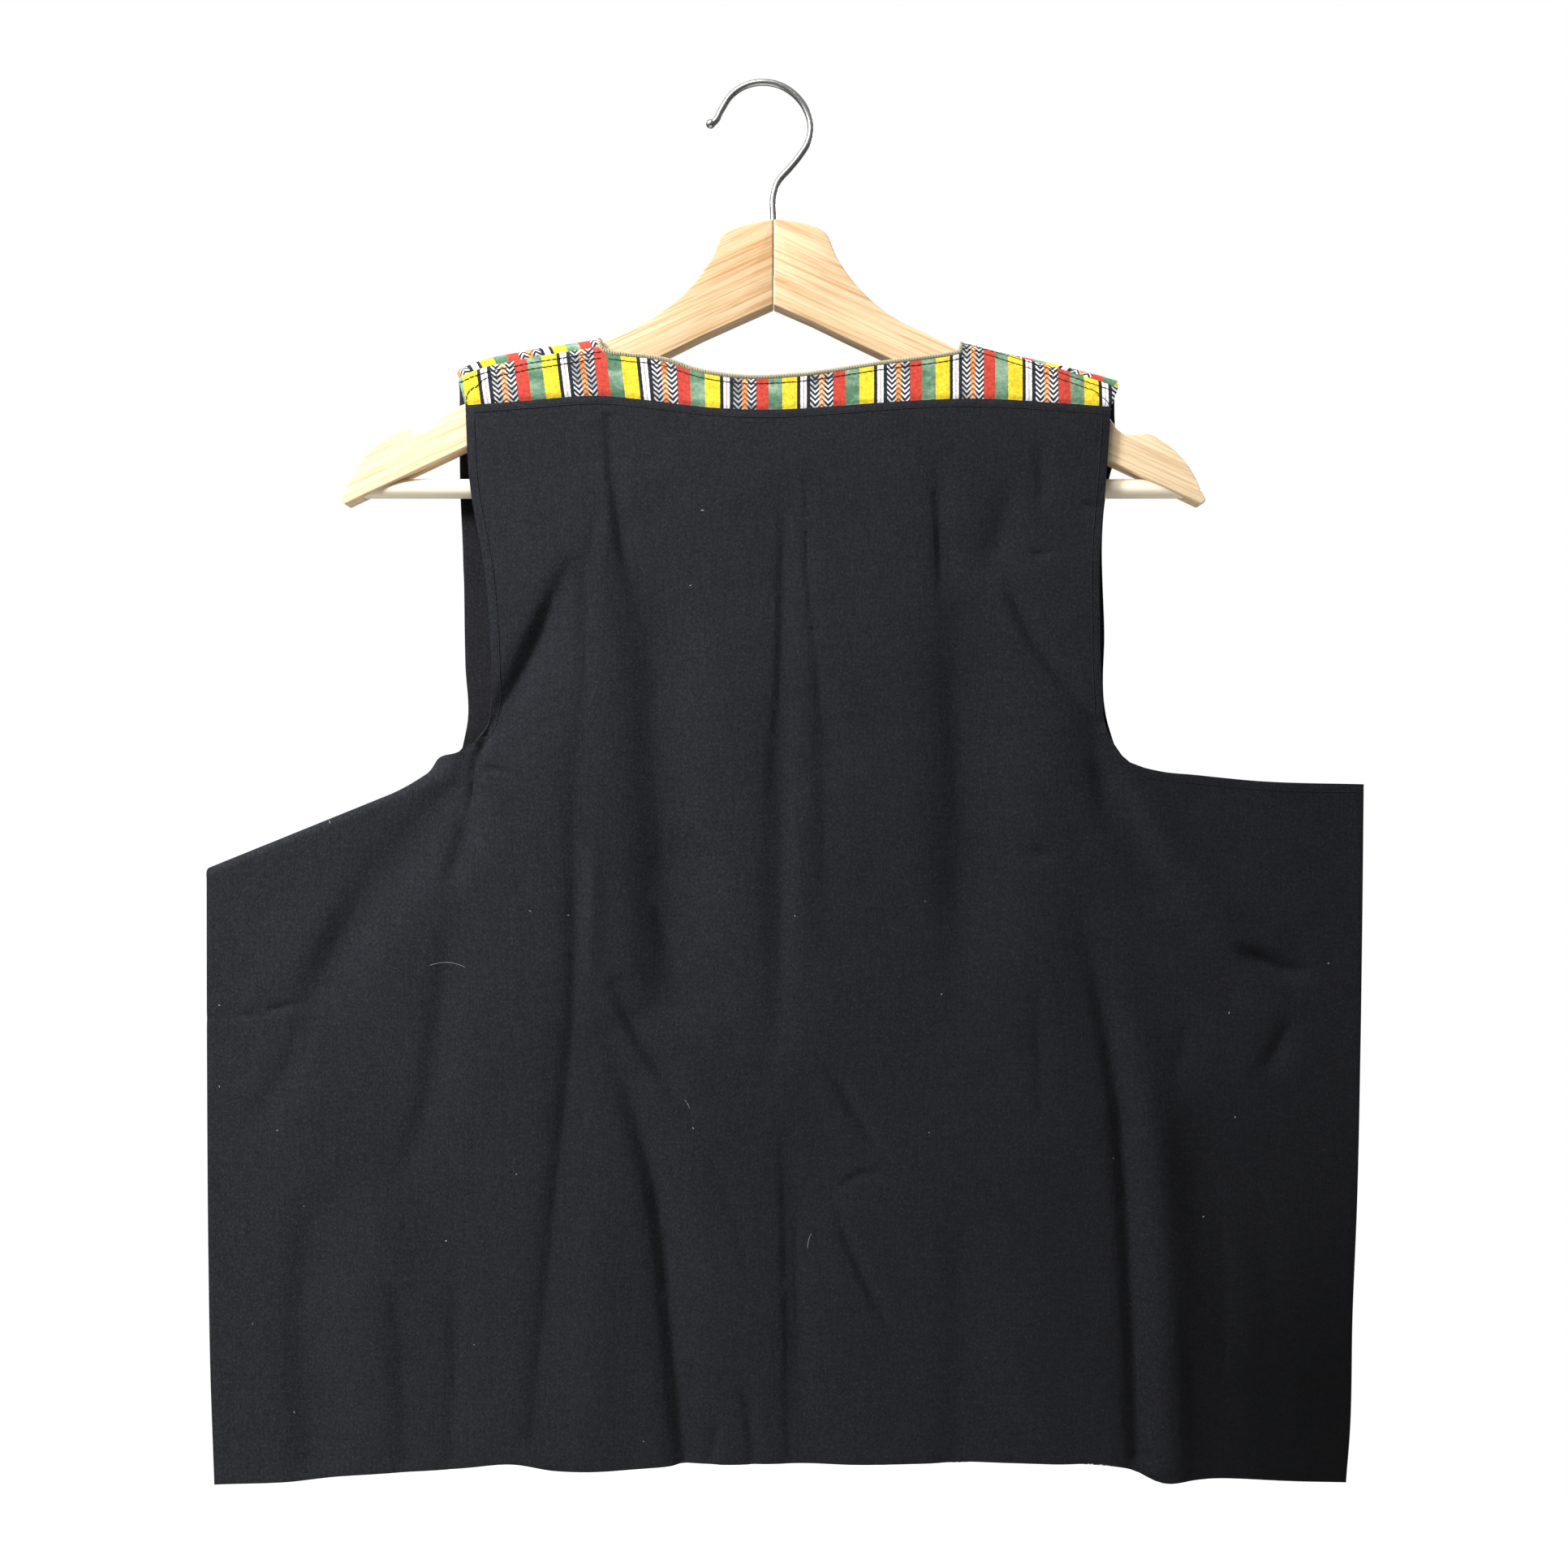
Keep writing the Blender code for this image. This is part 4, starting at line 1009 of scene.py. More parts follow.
def front_plans(side):
    """Plans of one front, from the shoulder seam to the hem: side is -1 at -X and 1 at +X."""
    left = side < 0
    armhole = columns(FRONT_ARMHOLE_LEFT if left else FRONT_ARMHOLE_RIGHT)
    opening = columns(FRONT_NECK)
    opening[:, 0] = CENTRE_X + side * opening[:, 0]
    strip = over_crest(side, armhole[0, 0], opening[0, 0])
    outer = on_plan(follow(armhole, FRONT_CHEST_ROWS))
    inner = on_plan(follow(opening, FRONT_CHEST_ROWS))
    outer[0], inner[0] = strip[-1, 0], strip[-1, -1]
    across = even(FRONT_COLUMNS)[:, None]
    join = (1 - across) * outer[-1] + across * inner[-1]
    chest = patch(strip[-1], join, outer, inner, across)

    edge_x = CENTRE_X + side * FRONT_EDGE
    hem = FRONT_HEM_LEFT if left else FRONT_HEM_RIGHT
    bottom = at_x(hem, [edge_x])[0]
    front_edge = (("x", "z"), tuple(join[-1]), tuple(bottom))
    if left:
        turn = at_x(TURN, FRONT_LEFT_WING_X)[::-1]
        edge = at_x(WING_TOP_LEFT, FRONT_LEFT_WING_X)[::-1]
        turn[-1] = edge[-1] = join[0]
        top = np.concatenate([turn, join[1:]])
        body = below(top, hem, SIDE_LEFT, front_edge, ROWS_FRONT_BODY)
        return [strip, chest, body, turned_corner(turn, edge)]
    edge = at_x(WING_TOP_RIGHT, FRONT_RIGHT_WING_X)
    edge[0] = join[0]
    top = np.concatenate([join[::-1], edge[1:]])
    body = below(top, hem, front_edge, SIDE_RIGHT, ROWS_FRONT_BODY)
    return [strip, chest, body[:, ::-1]]


def yoke_top(x):
    """Plan points of the yoke's upper edge: the shoulder seams and the neck edge between them."""
    neck = columns(NECK)
    seam = crest_z(x) + CREST_EXTRA - seam_length(x) + SEAM_LAP / 2
    edge = on_plan(neck)
    edge[0, 1] = np.interp(neck[0, 0], x, seam)
    edge[-1, 1] = np.interp(neck[-1, 0], x, seam)
    inside = (x >= neck[0, 0]) & (x <= neck[-1, 0])
    curve = smooth_between(edge[:, 0], edge, np.clip(x, neck[0, 0], neck[-1, 0]))[:, 1]
    return np.column_stack([x, np.where(inside, curve, seam)])


def yoke_plan():
    neck = columns(NECK)[:, 0]
    between = np.linspace(neck[3], neck[-4], YOKE_NECK_COLUMNS + 1)
    top_x = np.concatenate([
        np.linspace(SHOULDER_TIP_LEFT_X, neck[0], FRONT_COLUMNS + 1),
        neck[1:3],
        (neck[2:3] + neck[3:4]) / 2,
        between,
        (neck[-4:-3] + neck[-3:-2]) / 2,
        neck[-3:-1],
        np.linspace(neck[-1], SHOULDER_TIP_RIGHT_X, FRONT_COLUMNS + 1),
    ])
    top = yoke_top(top_x)
    share = ((top_x - top_x[0]) / (top_x[-1] - top_x[0]))[:, None]
    seam = columns(YOKE_SEAM)
    bottom = on_plan(at_x(YOKE_SEAM, seam[0, 0] + (seam[-1, 0] - seam[0, 0]) * share[:, 0]))
    bottom[:, 1] -= SEAM_LAP / 2
    down = even(YOKE_ROWS)[:, None]
    left = (1 - down) * top[0] + down * bottom[0]
    right = (1 - down) * top[-1] + down * bottom[-1]
    return patch(top, bottom, left, right, share)


def beside(path, distance):
    """A path parallel to another, to the left of the way that it runs."""
    ahead = np.diff(path, axis=0)
    ahead /= np.linalg.norm(ahead, axis=1)[:, None]
    normals = np.column_stack([-ahead[:, 1], ahead[:, 0]])
    before = np.concatenate([normals[:1], normals])
    after = np.concatenate([normals, normals[-1:]])
    mitre = before + after
    mitre /= (1 + np.sum(before * after, axis=1))[:, None]
    return path + distance * mitre


def divided(path, longest):
    """The path with points added so that no step is longer than this."""
    pieces = [path[:1]]
    for start, end in zip(path, path[1:]):
        count = max(1, math.ceil(np.linalg.norm(end - start) / longest))
        pieces.append(start + (end - start) * even(count)[1:, None])
    return np.concatenate(pieces)


def front_edge_path(side):
    """The neck and front edge as (x, length past the crest), from the shoulder seam to the hem."""
    strip, chest, body = front_plans(side)[:3]
    edge = np.concatenate([strip[1:, -1], chest[1:, -1], body[1:, -1]])
    past = crest_z(edge[:, 0]) + CREST_EXTRA - edge[:, 1]
    return np.column_stack([edge[:, 0], -past])


class Socket:
    """A node's output that sums can be written with."""

    def __init__(self, shop, out):
        self.shop = shop
        self.out = out

    def math(self, operation, *others):
        values = dict(enumerate((self, *others)))
        return self.shop.add("ShaderNodeMath", {"operation": operation}, values)

    def flipped(self, operation, other):
        return self.shop.add("ShaderNodeMath", {"operation": operation}, {0: other, 1: self})

    def __add__(self, other):
        return self.math("ADD", other)

    def __sub__(self, other):
        return self.math("SUBTRACT", other)

    def __mul__(self, other):
        return self.math("MULTIPLY", other)

    def __truediv__(self, other):
        return self.math("DIVIDE", other)

    def __rsub__(self, other):
        return self.flipped("SUBTRACT", other)

    def __lt__(self, other):
        return self.math("LESS_THAN", other)

    def __gt__(self, other):
        return self.math("GREATER_THAN", other)

    def __abs__(self):
        return self.math("ABSOLUTE")

    __radd__ = __add__
    __rmul__ = __mul__


class Shop:
    """Adds nodes to one tree."""

    def __init__(self, tree):
        self.tree = tree

    def add(self, kind, settings=None, inputs=None, output=0):
        node = self.tree.nodes.new(kind)
        for name, value in (settings or {}).items():
            if name == "stops":
                self.fill_ramp(node.color_ramp, value)
            else:
                setattr(node, name, value)
        for key, value in (inputs or {}).items():
            if isinstance(value, Socket):
                self.tree.links.new(value.out, node.inputs[key])
            else:
                node.inputs[key].default_value = value
        return Socket(self, node.outputs[output])

    def fill_ramp(self, ramp, stops):
        while len(ramp.elements) < len(stops):
            ramp.elements.new(1.0)
        for element, (position, colour) in zip(ramp.elements, stops):
            element.position = position
            element.color = colour

    def mix(self, share, first, second):
        settings = {"data_type": "RGBA"}
        return self.add("ShaderNodeMix", settings, {0: share, 6: first, 7: second}, output=2)

    def tinted(self, colour, amount):
        return self.add("ShaderNodeVectorMath", {"operation": "SCALE"}, {0: colour, "Scale": amount})

    def noise(self, place, per_mm, detail=2.0, seed=0.0):
        """Noise from 0 to 1 with this many waves a millimetre along each way of the place."""
        scaled = self.add(
            "ShaderNodeMapping",
            {"vector_type": "POINT"},
            {"Vector": place, "Scale": [each / MM for each in per_mm], "Location": (seed, seed, seed)},
        )
        return self.add("ShaderNodeTexNoise", {}, {"Vector": scaled, "Scale": 1.0, "Detail": detail})

    def level(self, value, low, high, to_low=0.0, to_high=1.0):
        names = {"Value": value, "From Min": low, "From Max": high, "To Min": to_low, "To Max": to_high}
        return self.add("ShaderNodeMapRange", {"clamp": True}, names)

    def bump(self, height, distance, strength=1.0):
        return self.add(
            "ShaderNodeBump",
            {},
            {"Height": height, "Distance": distance, "Strength": strength},
        )

    def wave(self, value, pitch):
        """A sine of this pitch in metres, from 0 to 1."""
        turn = value * (2 * math.pi / pitch)
        return turn.math("SINE") * 0.5 + 0.5


def new_material(name, fixed, varying):
    """A material whose shader has these fixed values and what varying(shop) gives for the rest."""
    made = bpy.data.materials.new(name)
    made.use_nodes = True
    shader = made.node_tree.nodes["Principled BSDF"]
    for key, value in fixed.items():
        shader.inputs[key].default_value = value
    shop = Shop(made.node_tree)
    for key, value in varying(shop).items():
        made.node_tree.links.new(value.out, shader.inputs[key])
    return made


def rgba(colour):
    return (*colour[:3], 1.0)


def plan_of(shop, uv_map):
    place = shop.add("ShaderNodeUVMap", {"uv_map": uv_map})
    x = shop.add("ShaderNodeSeparateXYZ", {}, {0: place}, output=0)
    h = shop.add("ShaderNodeSeparateXYZ", {}, {0: place}, output=1)
    return place, x, h


def black_cotton(name, colour, fade):
    """Plain weave, dyed black, with painted light: paler towards -X and the top, where the key light falls,
    and painted shade at the low corner at +X.
    """

    def varying(shop):
        place, x, h = plan_of(shop, "plan")
        warp = shop.noise(place, (0.95, 0.05, 1), 2.0, 3.1)
        weft = shop.noise(place, (0.08, 0.95, 1), 2.0, 8.4)
        clouds = shop.noise(place, (0.012, 0.012, 1), 4.0, 1.7)
        flecks = shop.noise(place, (0.9, 0.7, 1), 2.0, 5.2)
        # painted light: the black gets paler towards -X and towards the top, standing in for the key light's
        # falloff
        painted_light_falloff = shop.level(x, 0.30, -0.30) * 0.6 + shop.level(h, -0.70, -0.15) * 0.4
        grain = shop.noise(place, (1.0, 0.8, 1), 3.0, 6.3)
        tone = 0.17 + warp * 0.56 + weft * 0.38 + clouds * 0.3 + shop.level(flecks, 0.52, 0.8) * 0.9
        tone = tone + shop.level(grain, 0.36, 0.66) * 0.50
        tone = tone * (1.0 - fade + painted_light_falloff * (2.0 * fade))
        # painted shade: much darker towards the low corner at +X, where the light falls off
        painted_corner_shade = shop.level(x, 0.19, 0.26) * shop.level(h, -0.49, -0.67)
        tone = tone * (1.0 - painted_corner_shade * 0.72)
        over = shop.wave(x, WEAVE_PITCH) * shop.wave(h, WEAVE_PITCH)
        under = (1.0 - shop.wave(x, WEAVE_PITCH)) * (1.0 - shop.wave(h, WEAVE_PITCH))
        height = over + under + warp * 0.5 + weft * 0.6
        return {
            "Base Color": shop.tinted(tuple(colour), tone),
            "Roughness": shop.level(clouds, 0.3, 0.7, 0.78, 0.92),
            "Normal": shop.bump(height, 0.12 * MM, 0.6),
        }

    fixed = {"Specular IOR Level": 0.06, "Sheen Weight": 0.03, "Sheen Roughness": 0.5}
    return new_material(name, fixed, varying)


def striped_weave(name, colours):
    """Stripes, with herringbone columns on black, along the h of the piece's stripe map."""
    edges = []
    run = 0.0
    for yarn, width in REPEAT[1:]:
        edges.append((run / REPEAT_LENGTH, rgba(colours[yarn])))
        run += width

    def varying(shop):
        place, x, h = plan_of(shop, "stripes")
        ragged = shop.noise(place, (0.25, 1.5, 1), 1.0, 2.2) - 0.5
        across = x * (1 / MM) + ragged * 0.42
        repeat = (across * (1 / REPEAT_LENGTH)).math("FRACT") * REPEAT_LENGTH
        plain = shop.add(
            "ShaderNodeValToRGB",
            {"stops": edges},
            {0: repeat * (1 / REPEAT_LENGTH)},
        )
        plain.out.node.color_ramp.interpolation = "CONSTANT"

        from_apex = abs(repeat - (HERRINGBONE_START + HERRINGBONE_HALF))
        in_column = from_apex < HERRINGBONE_HALF
        zigzag = abs(from_apex - HERRINGBONE_TURN)
        step = ((h * (1 / MM) - zigzag) * (1 / HERRINGBONE_PITCH)).math("FRACT")
        line = shop.level(abs(step - 0.5), HERRINGBONE_LINE / 2 + 0.03, HERRINGBONE_LINE / 2 - 0.03)
        in_orange = from_apex < ORANGE_HALF
        grey = shop.level(shop.noise(place, (0.05, 0.06, 1), 2.0, 6.0), 0.36, 0.58)
        pale = shop.mix(grey, rgba(colours["grey"]), rgba(colours["white"]))
        peach_share = shop.level(shop.noise(place, (0.03, 0.07, 1), 1.0, 9.0), 0.35, 0.6)
        orange = shop.mix(peach_share, rgba(colours["orange"]), rgba(colours["peach"]))
        thin = shop.level(abs(step - 0.5), 0.27, 0.36)
        chevron = shop.mix(line, rgba(colours["black"]), pale)
        apex = shop.mix(thin, orange, rgba(colours["rust"]))
        column = shop.mix(in_orange, chevron, apex)
        cloth = shop.mix(in_column, plain, column)

        sage = shop.noise(place, (0.04, 0.09, 1), 3.0, 4.0)
        is_green = (repeat > GREEN_FROM) * (repeat < YELLOW_FROM)
        mint = shop.mix(shop.level(sage, 0.42, 0.62), plain, rgba(colours["mint"]))
        cloth = shop.mix(is_green, cloth, mint)
        is_yellow = repeat > YELLOW_FROM
        warm = shop.level(shop.noise(place, (0.12, 0.12, 1), 3.0, 7.7), 0.5, 0.75) * is_yellow
        cloth = shop.mix(warm * 0.6, cloth, rgba(colours["amber"]))

        speck = shop.noise(place, (1.1, 1.5, 1), 2.0, 1.1)
        yarns = shop.noise(place, (2.2, 0.12, 1), 1.0, 5.5)
        mottle = shop.noise(place, (0.5, 0.6, 1), 3.0, 8.8)
        tone = 0.56 + shop.level(speck, 0.3, 0.7) * 0.32
        tone = tone + shop.level(mottle, 0.34, 0.66) * 0.38 + yarns * 0.18
        rib = shop.wave(h, RIB_PITCH)
        height = rib * 0.12 + shop.wave(x, RIB_PITCH) * 0.12 + speck * 0.9 + mottle * 0.8
        return {
            "Base Color": shop.tinted(cloth, tone),
            "Roughness": shop.level(speck, 0.3, 0.7, 0.7, 0.88),
            "Normal": shop.bump(height, 0.2 * MM, 0.7),
        }

    fixed = {"Specular IOR Level": 0.2, "Sheen Weight": 0.05, "Sheen Roughness": 0.4}
    return new_material(name, fixed, varying)


def braid_yarn(name, colour):
    """Narrow braid of pale and darker beige strands, laid on the slant."""

    def varying(shop):
        place, along, around = plan_of(shop, "plan")
        slant = shop.wave(along + around * 0.8, 0.9 * MM)
        fuzz = shop.noise(place, (1.5, 1.5, 1), 2.0, 2.0)
        patches = shop.noise(place, (0.06, 0.02, 1), 3.0, 5.0)
        tone = 0.5 + slant * 0.28 + fuzz * 0.3 + shop.level(patches, 0.3, 0.7) * 0.28
        return {
            "Base Color": shop.tinted(tuple(colour), tone),
            "Roughness": shop.level(fuzz, 0.2, 0.8, 0.75, 0.95),
            "Normal": shop.bump(slant + fuzz * 0.6, 0.25 * MM, 0.8),
        }

    return new_material(name, {"Specular IOR Level": 0.25, "Sheen Weight": 0.1}, varying)


def sewing_thread(name, colour):
    """Spun thread, its tone wandering a little from stitch to stitch."""

    def varying(shop):
        place = shop.add("ShaderNodeTexCoord", output=3)
        fuzz = shop.noise(place, (2.5, 2.5, 2.5), 2.0)
        return {
            "Base Color": shop.tinted(tuple(colour), 0.7 + fuzz * 0.6),
            "Roughness": shop.level(fuzz, 0.2, 0.8, 0.6, 0.85),
        }

    return new_material(name, {"Specular IOR Level": 0.3}, varying)


def hanger_wood(name, light, dark, slope, top_shade_share):
    """Pale hardwood, sanded and lacquered, its grain falling at this slope and its top darkened this much by
    painted shade.
    """

    def varying(shop):
        place = shop.add("ShaderNodeTexCoord", output=3)
        turned = shop.add(
            "ShaderNodeMapping",
            {"vector_type": "POINT"},
            {"Vector": place, "Rotation": (0.0, slope, 0.0)},
        )
        high = shop.add("ShaderNodeSeparateXYZ", {}, {0: place}, output=2)
        # painted shade: the top of the arm is darker, standing in for the shade there
        painted_top_shade = shop.level(high, -0.17, -0.10)
        streaks = shop.noise(turned, (0.011, 0.28, 0.34), 3.0, 3.0)
        fibres = shop.noise(turned, (0.016, 0.62, 0.74), 2.0, 5.0)
        pores = shop.noise(turned, (0.06, 1.6, 1.9), 2.0, 7.0)
        broad = shop.noise(turned, (0.004, 0.06, 0.07), 2.0, 12.0)
        pore = shop.level(pores, 0.60, 0.74)
        share = shop.level(streaks, 0.38, 0.68) * 0.34 + shop.level(fibres, 0.48, 0.62) * 0.34 + broad * 0.14
        share = share - 0.06 + pore * 0.34 + painted_top_shade * top_shade_share
        colour = shop.mix(share.math("MINIMUM", 1.0), rgba(light), rgba(dark))
        return {
            "Base Color": colour,
            "Roughness": shop.level(pores, 0.3, 0.7, 0.34, 0.5),
            "Normal": shop.bump(1.0 - pore + streaks * 0.4, 0.06 * MM, 0.5),
        }

    fixed = {"Specular IOR Level": 0.45, "Coat Roughness": 0.25}
    return new_material(name, fixed, varying)


def plated_wire(name, colour):
    def varying(shop):
        place = shop.add("ShaderNodeTexCoord", output=3)
        scuffs = shop.noise(place, (0.5, 0.5, 2.0), 4.0)
        return {
            "Base Color": shop.tinted(tuple(colour), 0.92 + scuffs * 0.12),
            "Roughness": shop.level(scuffs, 0.3, 0.75, 0.26, 0.42),
        }

    return new_material(name, {"Metallic": 1.0}, varying)


def floor_paint(name, colour):
    def varying(shop):
        place = shop.add("ShaderNodeTexCoord", output=3)
        soft = shop.noise(place, (0.002, 0.002, 0.002), 2.0)
        from_middle = shop.add("ShaderNodeVectorMath", {"operation": "LENGTH"}, {0: place}, output=1)
        return {
            "Base Color": shop.tinted(tuple(colour), 0.985 + soft * 0.03),
            "Alpha": shop.level(from_middle, FLOOR_FADE[1], FLOOR_FADE[0]),
        }

    return new_material(name, {"Roughness": 0.9, "Specular IOR Level": 0.1}, varying)


def relief(rows, plan):
    """How far seams and stitching draw the cloth in, in millimetres, at plan points."""
    total = np.zeros(plan.shape[:-1])
    for depth, width, path in rows:
        total -= depth * one_fold(plan[..., 0], plan[..., 1], width, 1, 1, 1, path)
    return total


def cloth_normal(layer, plan):
    """Which way the cloth's right side faces at plan points."""
    aside, above = (NORMAL_STEP, 0), (0, NORMAL_STEP)
    across = place(layer, plan + aside) - place(layer, plan - aside)
    up = place(layer, plan + above) - place(layer, plan - above)
    out = np.cross(across, up) * -layer
    return out / np.linalg.norm(out, axis=-1, keepdims=True)


def on_cloth(layer, plan, lift):
    plan = np.asarray(plan, float)
    lift = np.broadcast_to(lift, plan.shape[:-1])[..., None]
    return place(layer, plan) + cloth_normal(layer, plan) * lift


def linked(name, data):
    """A new object in the scene with this mesh, curve, lamp or camera."""
    obj = bpy.data.objects.new(name, data)
    bpy.context.scene.collection.objects.link(obj)
    return obj


def mesh_of(work, name, made_of=None):
    """The drawn work as a mesh, in this material if one is given."""
    mesh = bpy.data.meshes.new(name)
    work.to_mesh(mesh)
    work.free()
    if made_of is not None:
        mesh.materials.append(made_of)
    return mesh


def piece(name, mesh, slot, *nodes):
    """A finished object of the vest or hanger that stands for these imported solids."""
    obj = linked(name, mesh)
    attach(obj, BODY)
    if nodes:
        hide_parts(*nodes)
    return obj


def made_plain(obj, sharp=None):
    """The object's mesh with its modifiers applied; the object itself goes."""
    bpy.context.view_layer.update()
    graph = bpy.context.evaluated_depsgraph_get()
    mesh = bpy.data.meshes.new_from_object(obj.evaluated_get(graph))
    bpy.data.objects.remove(obj)
    mesh.shade_smooth()
    if sharp is not None:
        mesh.set_sharp_from_angle(angle=sharp)
    return mesh


def divide_bends(work, on_plan_layer, layer, draws):
    """Halves the edges over which the cloth bends, so that sharp creases get a finer mesh."""
    edges = list(work.edges)
    ends = np.array([[tuple(end.co) for end in edge.verts] for edge in edges]) / MM
    plans = np.array([[tuple(end[on_plan_layer])[:2] for end in edge.verts] for edge in edges])
    middle = plans.mean(axis=1)
    off = np.linalg.norm(on_cloth(layer, middle, relief(draws, middle)) - ends.mean(axis=1), axis=1)
    bent = [edge for edge, far in zip(edges, off) if far > BEND_ALLOWED]
    if not bent:
        return
    old = set(work.verts)
    bmesh.ops.subdivide_edges(work, edges=bent, cuts=1, use_grid_fill=True)
    made = [vert for vert in work.verts if vert not in old]
    spots = np.array([tuple(vert[on_plan_layer])[:2] for vert in made])
    for vert, point in zip(made, on_cloth(layer, spots, relief(draws, spots)) * MM):
        vert.co = point


def panel_surface(name, layer, plans, draws, stripe=None):
    """The middle surface of a panel with its plan, and its stripes' place, as UV maps."""
    work = bmesh.new()
    on_plan_layer = work.verts.layers.float_vector.new("plan")
    for plan in plans:
        lift = relief(draws, plan)
        hung = on_cloth(layer, plan, lift) * MM
        corners = [[work.verts.new(point) for point in row] for row in hung]
        for row, flat in zip(corners, plan):
            for corner, spot in zip(row, flat):
                corner[on_plan_layer] = (spot[0], spot[1], 0.0)
        for upper, lower in zip(corners, corners[1:]):
            for i in range(len(upper) - 1):
                work.faces.new((upper[i], lower[i], lower[i + 1], upper[i + 1]))
    bmesh.ops.remove_doubles(work, verts=work.verts, dist=JOIN * MM)
    for _ in range(DIVIDE_ROUNDS):
        divide_bends(work, on_plan_layer, layer, draws)
    bmesh.ops.recalc_face_normals(work, faces=work.faces)
    facing = sum(face.normal.y * face.calc_area() for face in work.faces)
    if facing * layer < 0:
        bmesh.ops.reverse_faces(work, faces=work.faces)
    maps = [(work.loops.layers.uv.new("plan"), lambda x, h: (x, h))]
    if stripe is not None:
        maps.append((work.loops.layers.uv.new("stripes"), stripe))
    for face in work.faces:
        for loop in face.loops:
            spot = loop.vert[on_plan_layer]
            for uv, at in maps:
                across, up = at(spot[0], spot[1])
                loop[uv].uv = (across * MM, up * MM)
    mesh = mesh_of(work, name)
    mesh.shade_smooth()
    return mesh


def shell(name, mesh, wall, made_of, slot, node):
    """A panel's thin shell, with its raw rim rounded as a folded edge is."""
    mesh.materials.clear()
    mesh.materials.append(made_of)
    obj = linked(name + "_draft", mesh)
    thick = obj.modifiers.new("wall", "SOLIDIFY")
    thick.thickness = wall * MM
    thick.offset = 0.0
    rim = obj.modifiers.new("rounded rim", "BEVEL")
    rim.width = wall * RIM_ROUND * MM
    rim.segments = 2
    rim.limit_method = "ANGLE"
    rim.angle_limit = RIM_ANGLE
    return piece(name, made_plain(obj), slot, node)


def area_of(plans):
    """Flat area of a panel's patches in square metres."""
    total = 0.0
    for plan in plans:
        first = plan[1:, 1:] - plan[:-1, :-1]
        second = plan[1:, :-1] - plan[:-1, 1:]
        total += np.abs(first[..., 0] * second[..., 1] - first[..., 1] * second[..., 0]).sum() / 2
    return total * MM * MM


def declare_sheet(plans):
    points = np.concatenate([plan.reshape(-1, 2) for plan in plans])
    width, length = (points.max(axis=0) - points.min(axis=0)) * MM
    area = min(area_of(plans), width * length)


def yoke_stripe(x, h):
    """Where a spot of the yoke lies in the stripes: across them, and along them."""
    rows = columns(YOKE_YELLOWS)
    lean = np.interp(x, rows[:, 0], rows[:, 1])
    straight = x + lean * (h - YOKE_LEAN_HEIGHT)
    count = np.interp(straight, rows[:, 0], np.arange(len(rows)))
    if straight < rows[0, 0]:
        count = (straight - rows[0, 0]) / REPEAT_LENGTH
    if straight > rows[-1, 0]:
        count = len(rows) - 1 + (straight - rows[-1, 0]) / REPEAT_LENGTH
    return YELLOW_MIDDLE + count * REPEAT_LENGTH + YOKE_UV_SHIFT, h


def front_stripe(side):
    for row in FRONT_STRIPES[1:]:
        if row[0] == side:
            yellow, way, lean = row[1:]

    def at(x, h):
        bend = max(0.0, h - (crest_z(x) - FRONT_LEAN_BELOW_CREST))
        across = (x - lean * bend - yellow) * FRONT_STRIPES_CLOSER
        return YELLOW_MIDDLE + way * across + YOKE_UV_SHIFT, h

    return at


def seam_path():
    rows = columns(YOKE_SEAM)
    return on_plan(at_x(YOKE_SEAM, np.linspace(rows[0, 0], rows[-1, 0], SEAM_POINTS)))


def moved_down(path, distance):
    return np.asarray(path) - (0.0, distance)


def armhole_path(table):
    return on_plan(follow(columns(table), even(EDGE_POINTS)))


def yoke_edge():
    """The yoke's upper edge on the plan, from tip to tip."""
    return yoke_plan()[0]


def shoulder_paths():
    """The shoulder seams at -X and +X as plan paths of the yoke."""
    edge = yoke_edge()
    neck = columns(NECK)[:, 0]
    left = edge[edge[:, 0] <= neck[0] + 0.01]
    right = edge[edge[:, 0] >= neck[-1] - 0.01]
    return left, right


def neck_path():
    edge = yoke_edge()
    neck = columns(NECK)[:, 0]
    return edge[(edge[:, 0] >= neck[1]) & (edge[:, 0] <= neck[-2])]


def rounded_turn(side):
    """The lower shoulder stitching: along the seam, then round and down beside the armhole."""
    left, right = shoulder_paths()
    path = left[::-1] if side < 0 else right
    down = moved_down(path, SHOULDER_STITCHES[1])
    tip = SHOULDER_TIP_LEFT_X if side < 0 else SHOULDER_TIP_RIGHT_X
    corner_x = tip - side * ARMHOLE_STITCH
    reach = SHOULDER_CORNER
    along = down[np.abs(down[:, 0] - CENTRE_X) < abs(corner_x - side * reach - CENTRE_X)]
    level = down[np.argmin(np.abs(down[:, 0] - corner_x)), 1]
    turn = np.linspace(0.0, math.pi / 2, CORNER_POINTS)[1:]
    arc = np.column_stack([
        corner_x - side * reach * (1 - np.sin(turn)),
        level - reach * (1 - np.cos(turn)),
    ])
    foot = seam_path()
    foot_h = foot[0, 1] if side < 0 else foot[-1, 1]
    heights = np.linspace(arc[-1, 1] - 1, foot_h + 1, FOOT_POINTS)
    straight = np.array([(corner_x, h) for h in heights])
    return np.concatenate([along, arc, straight])


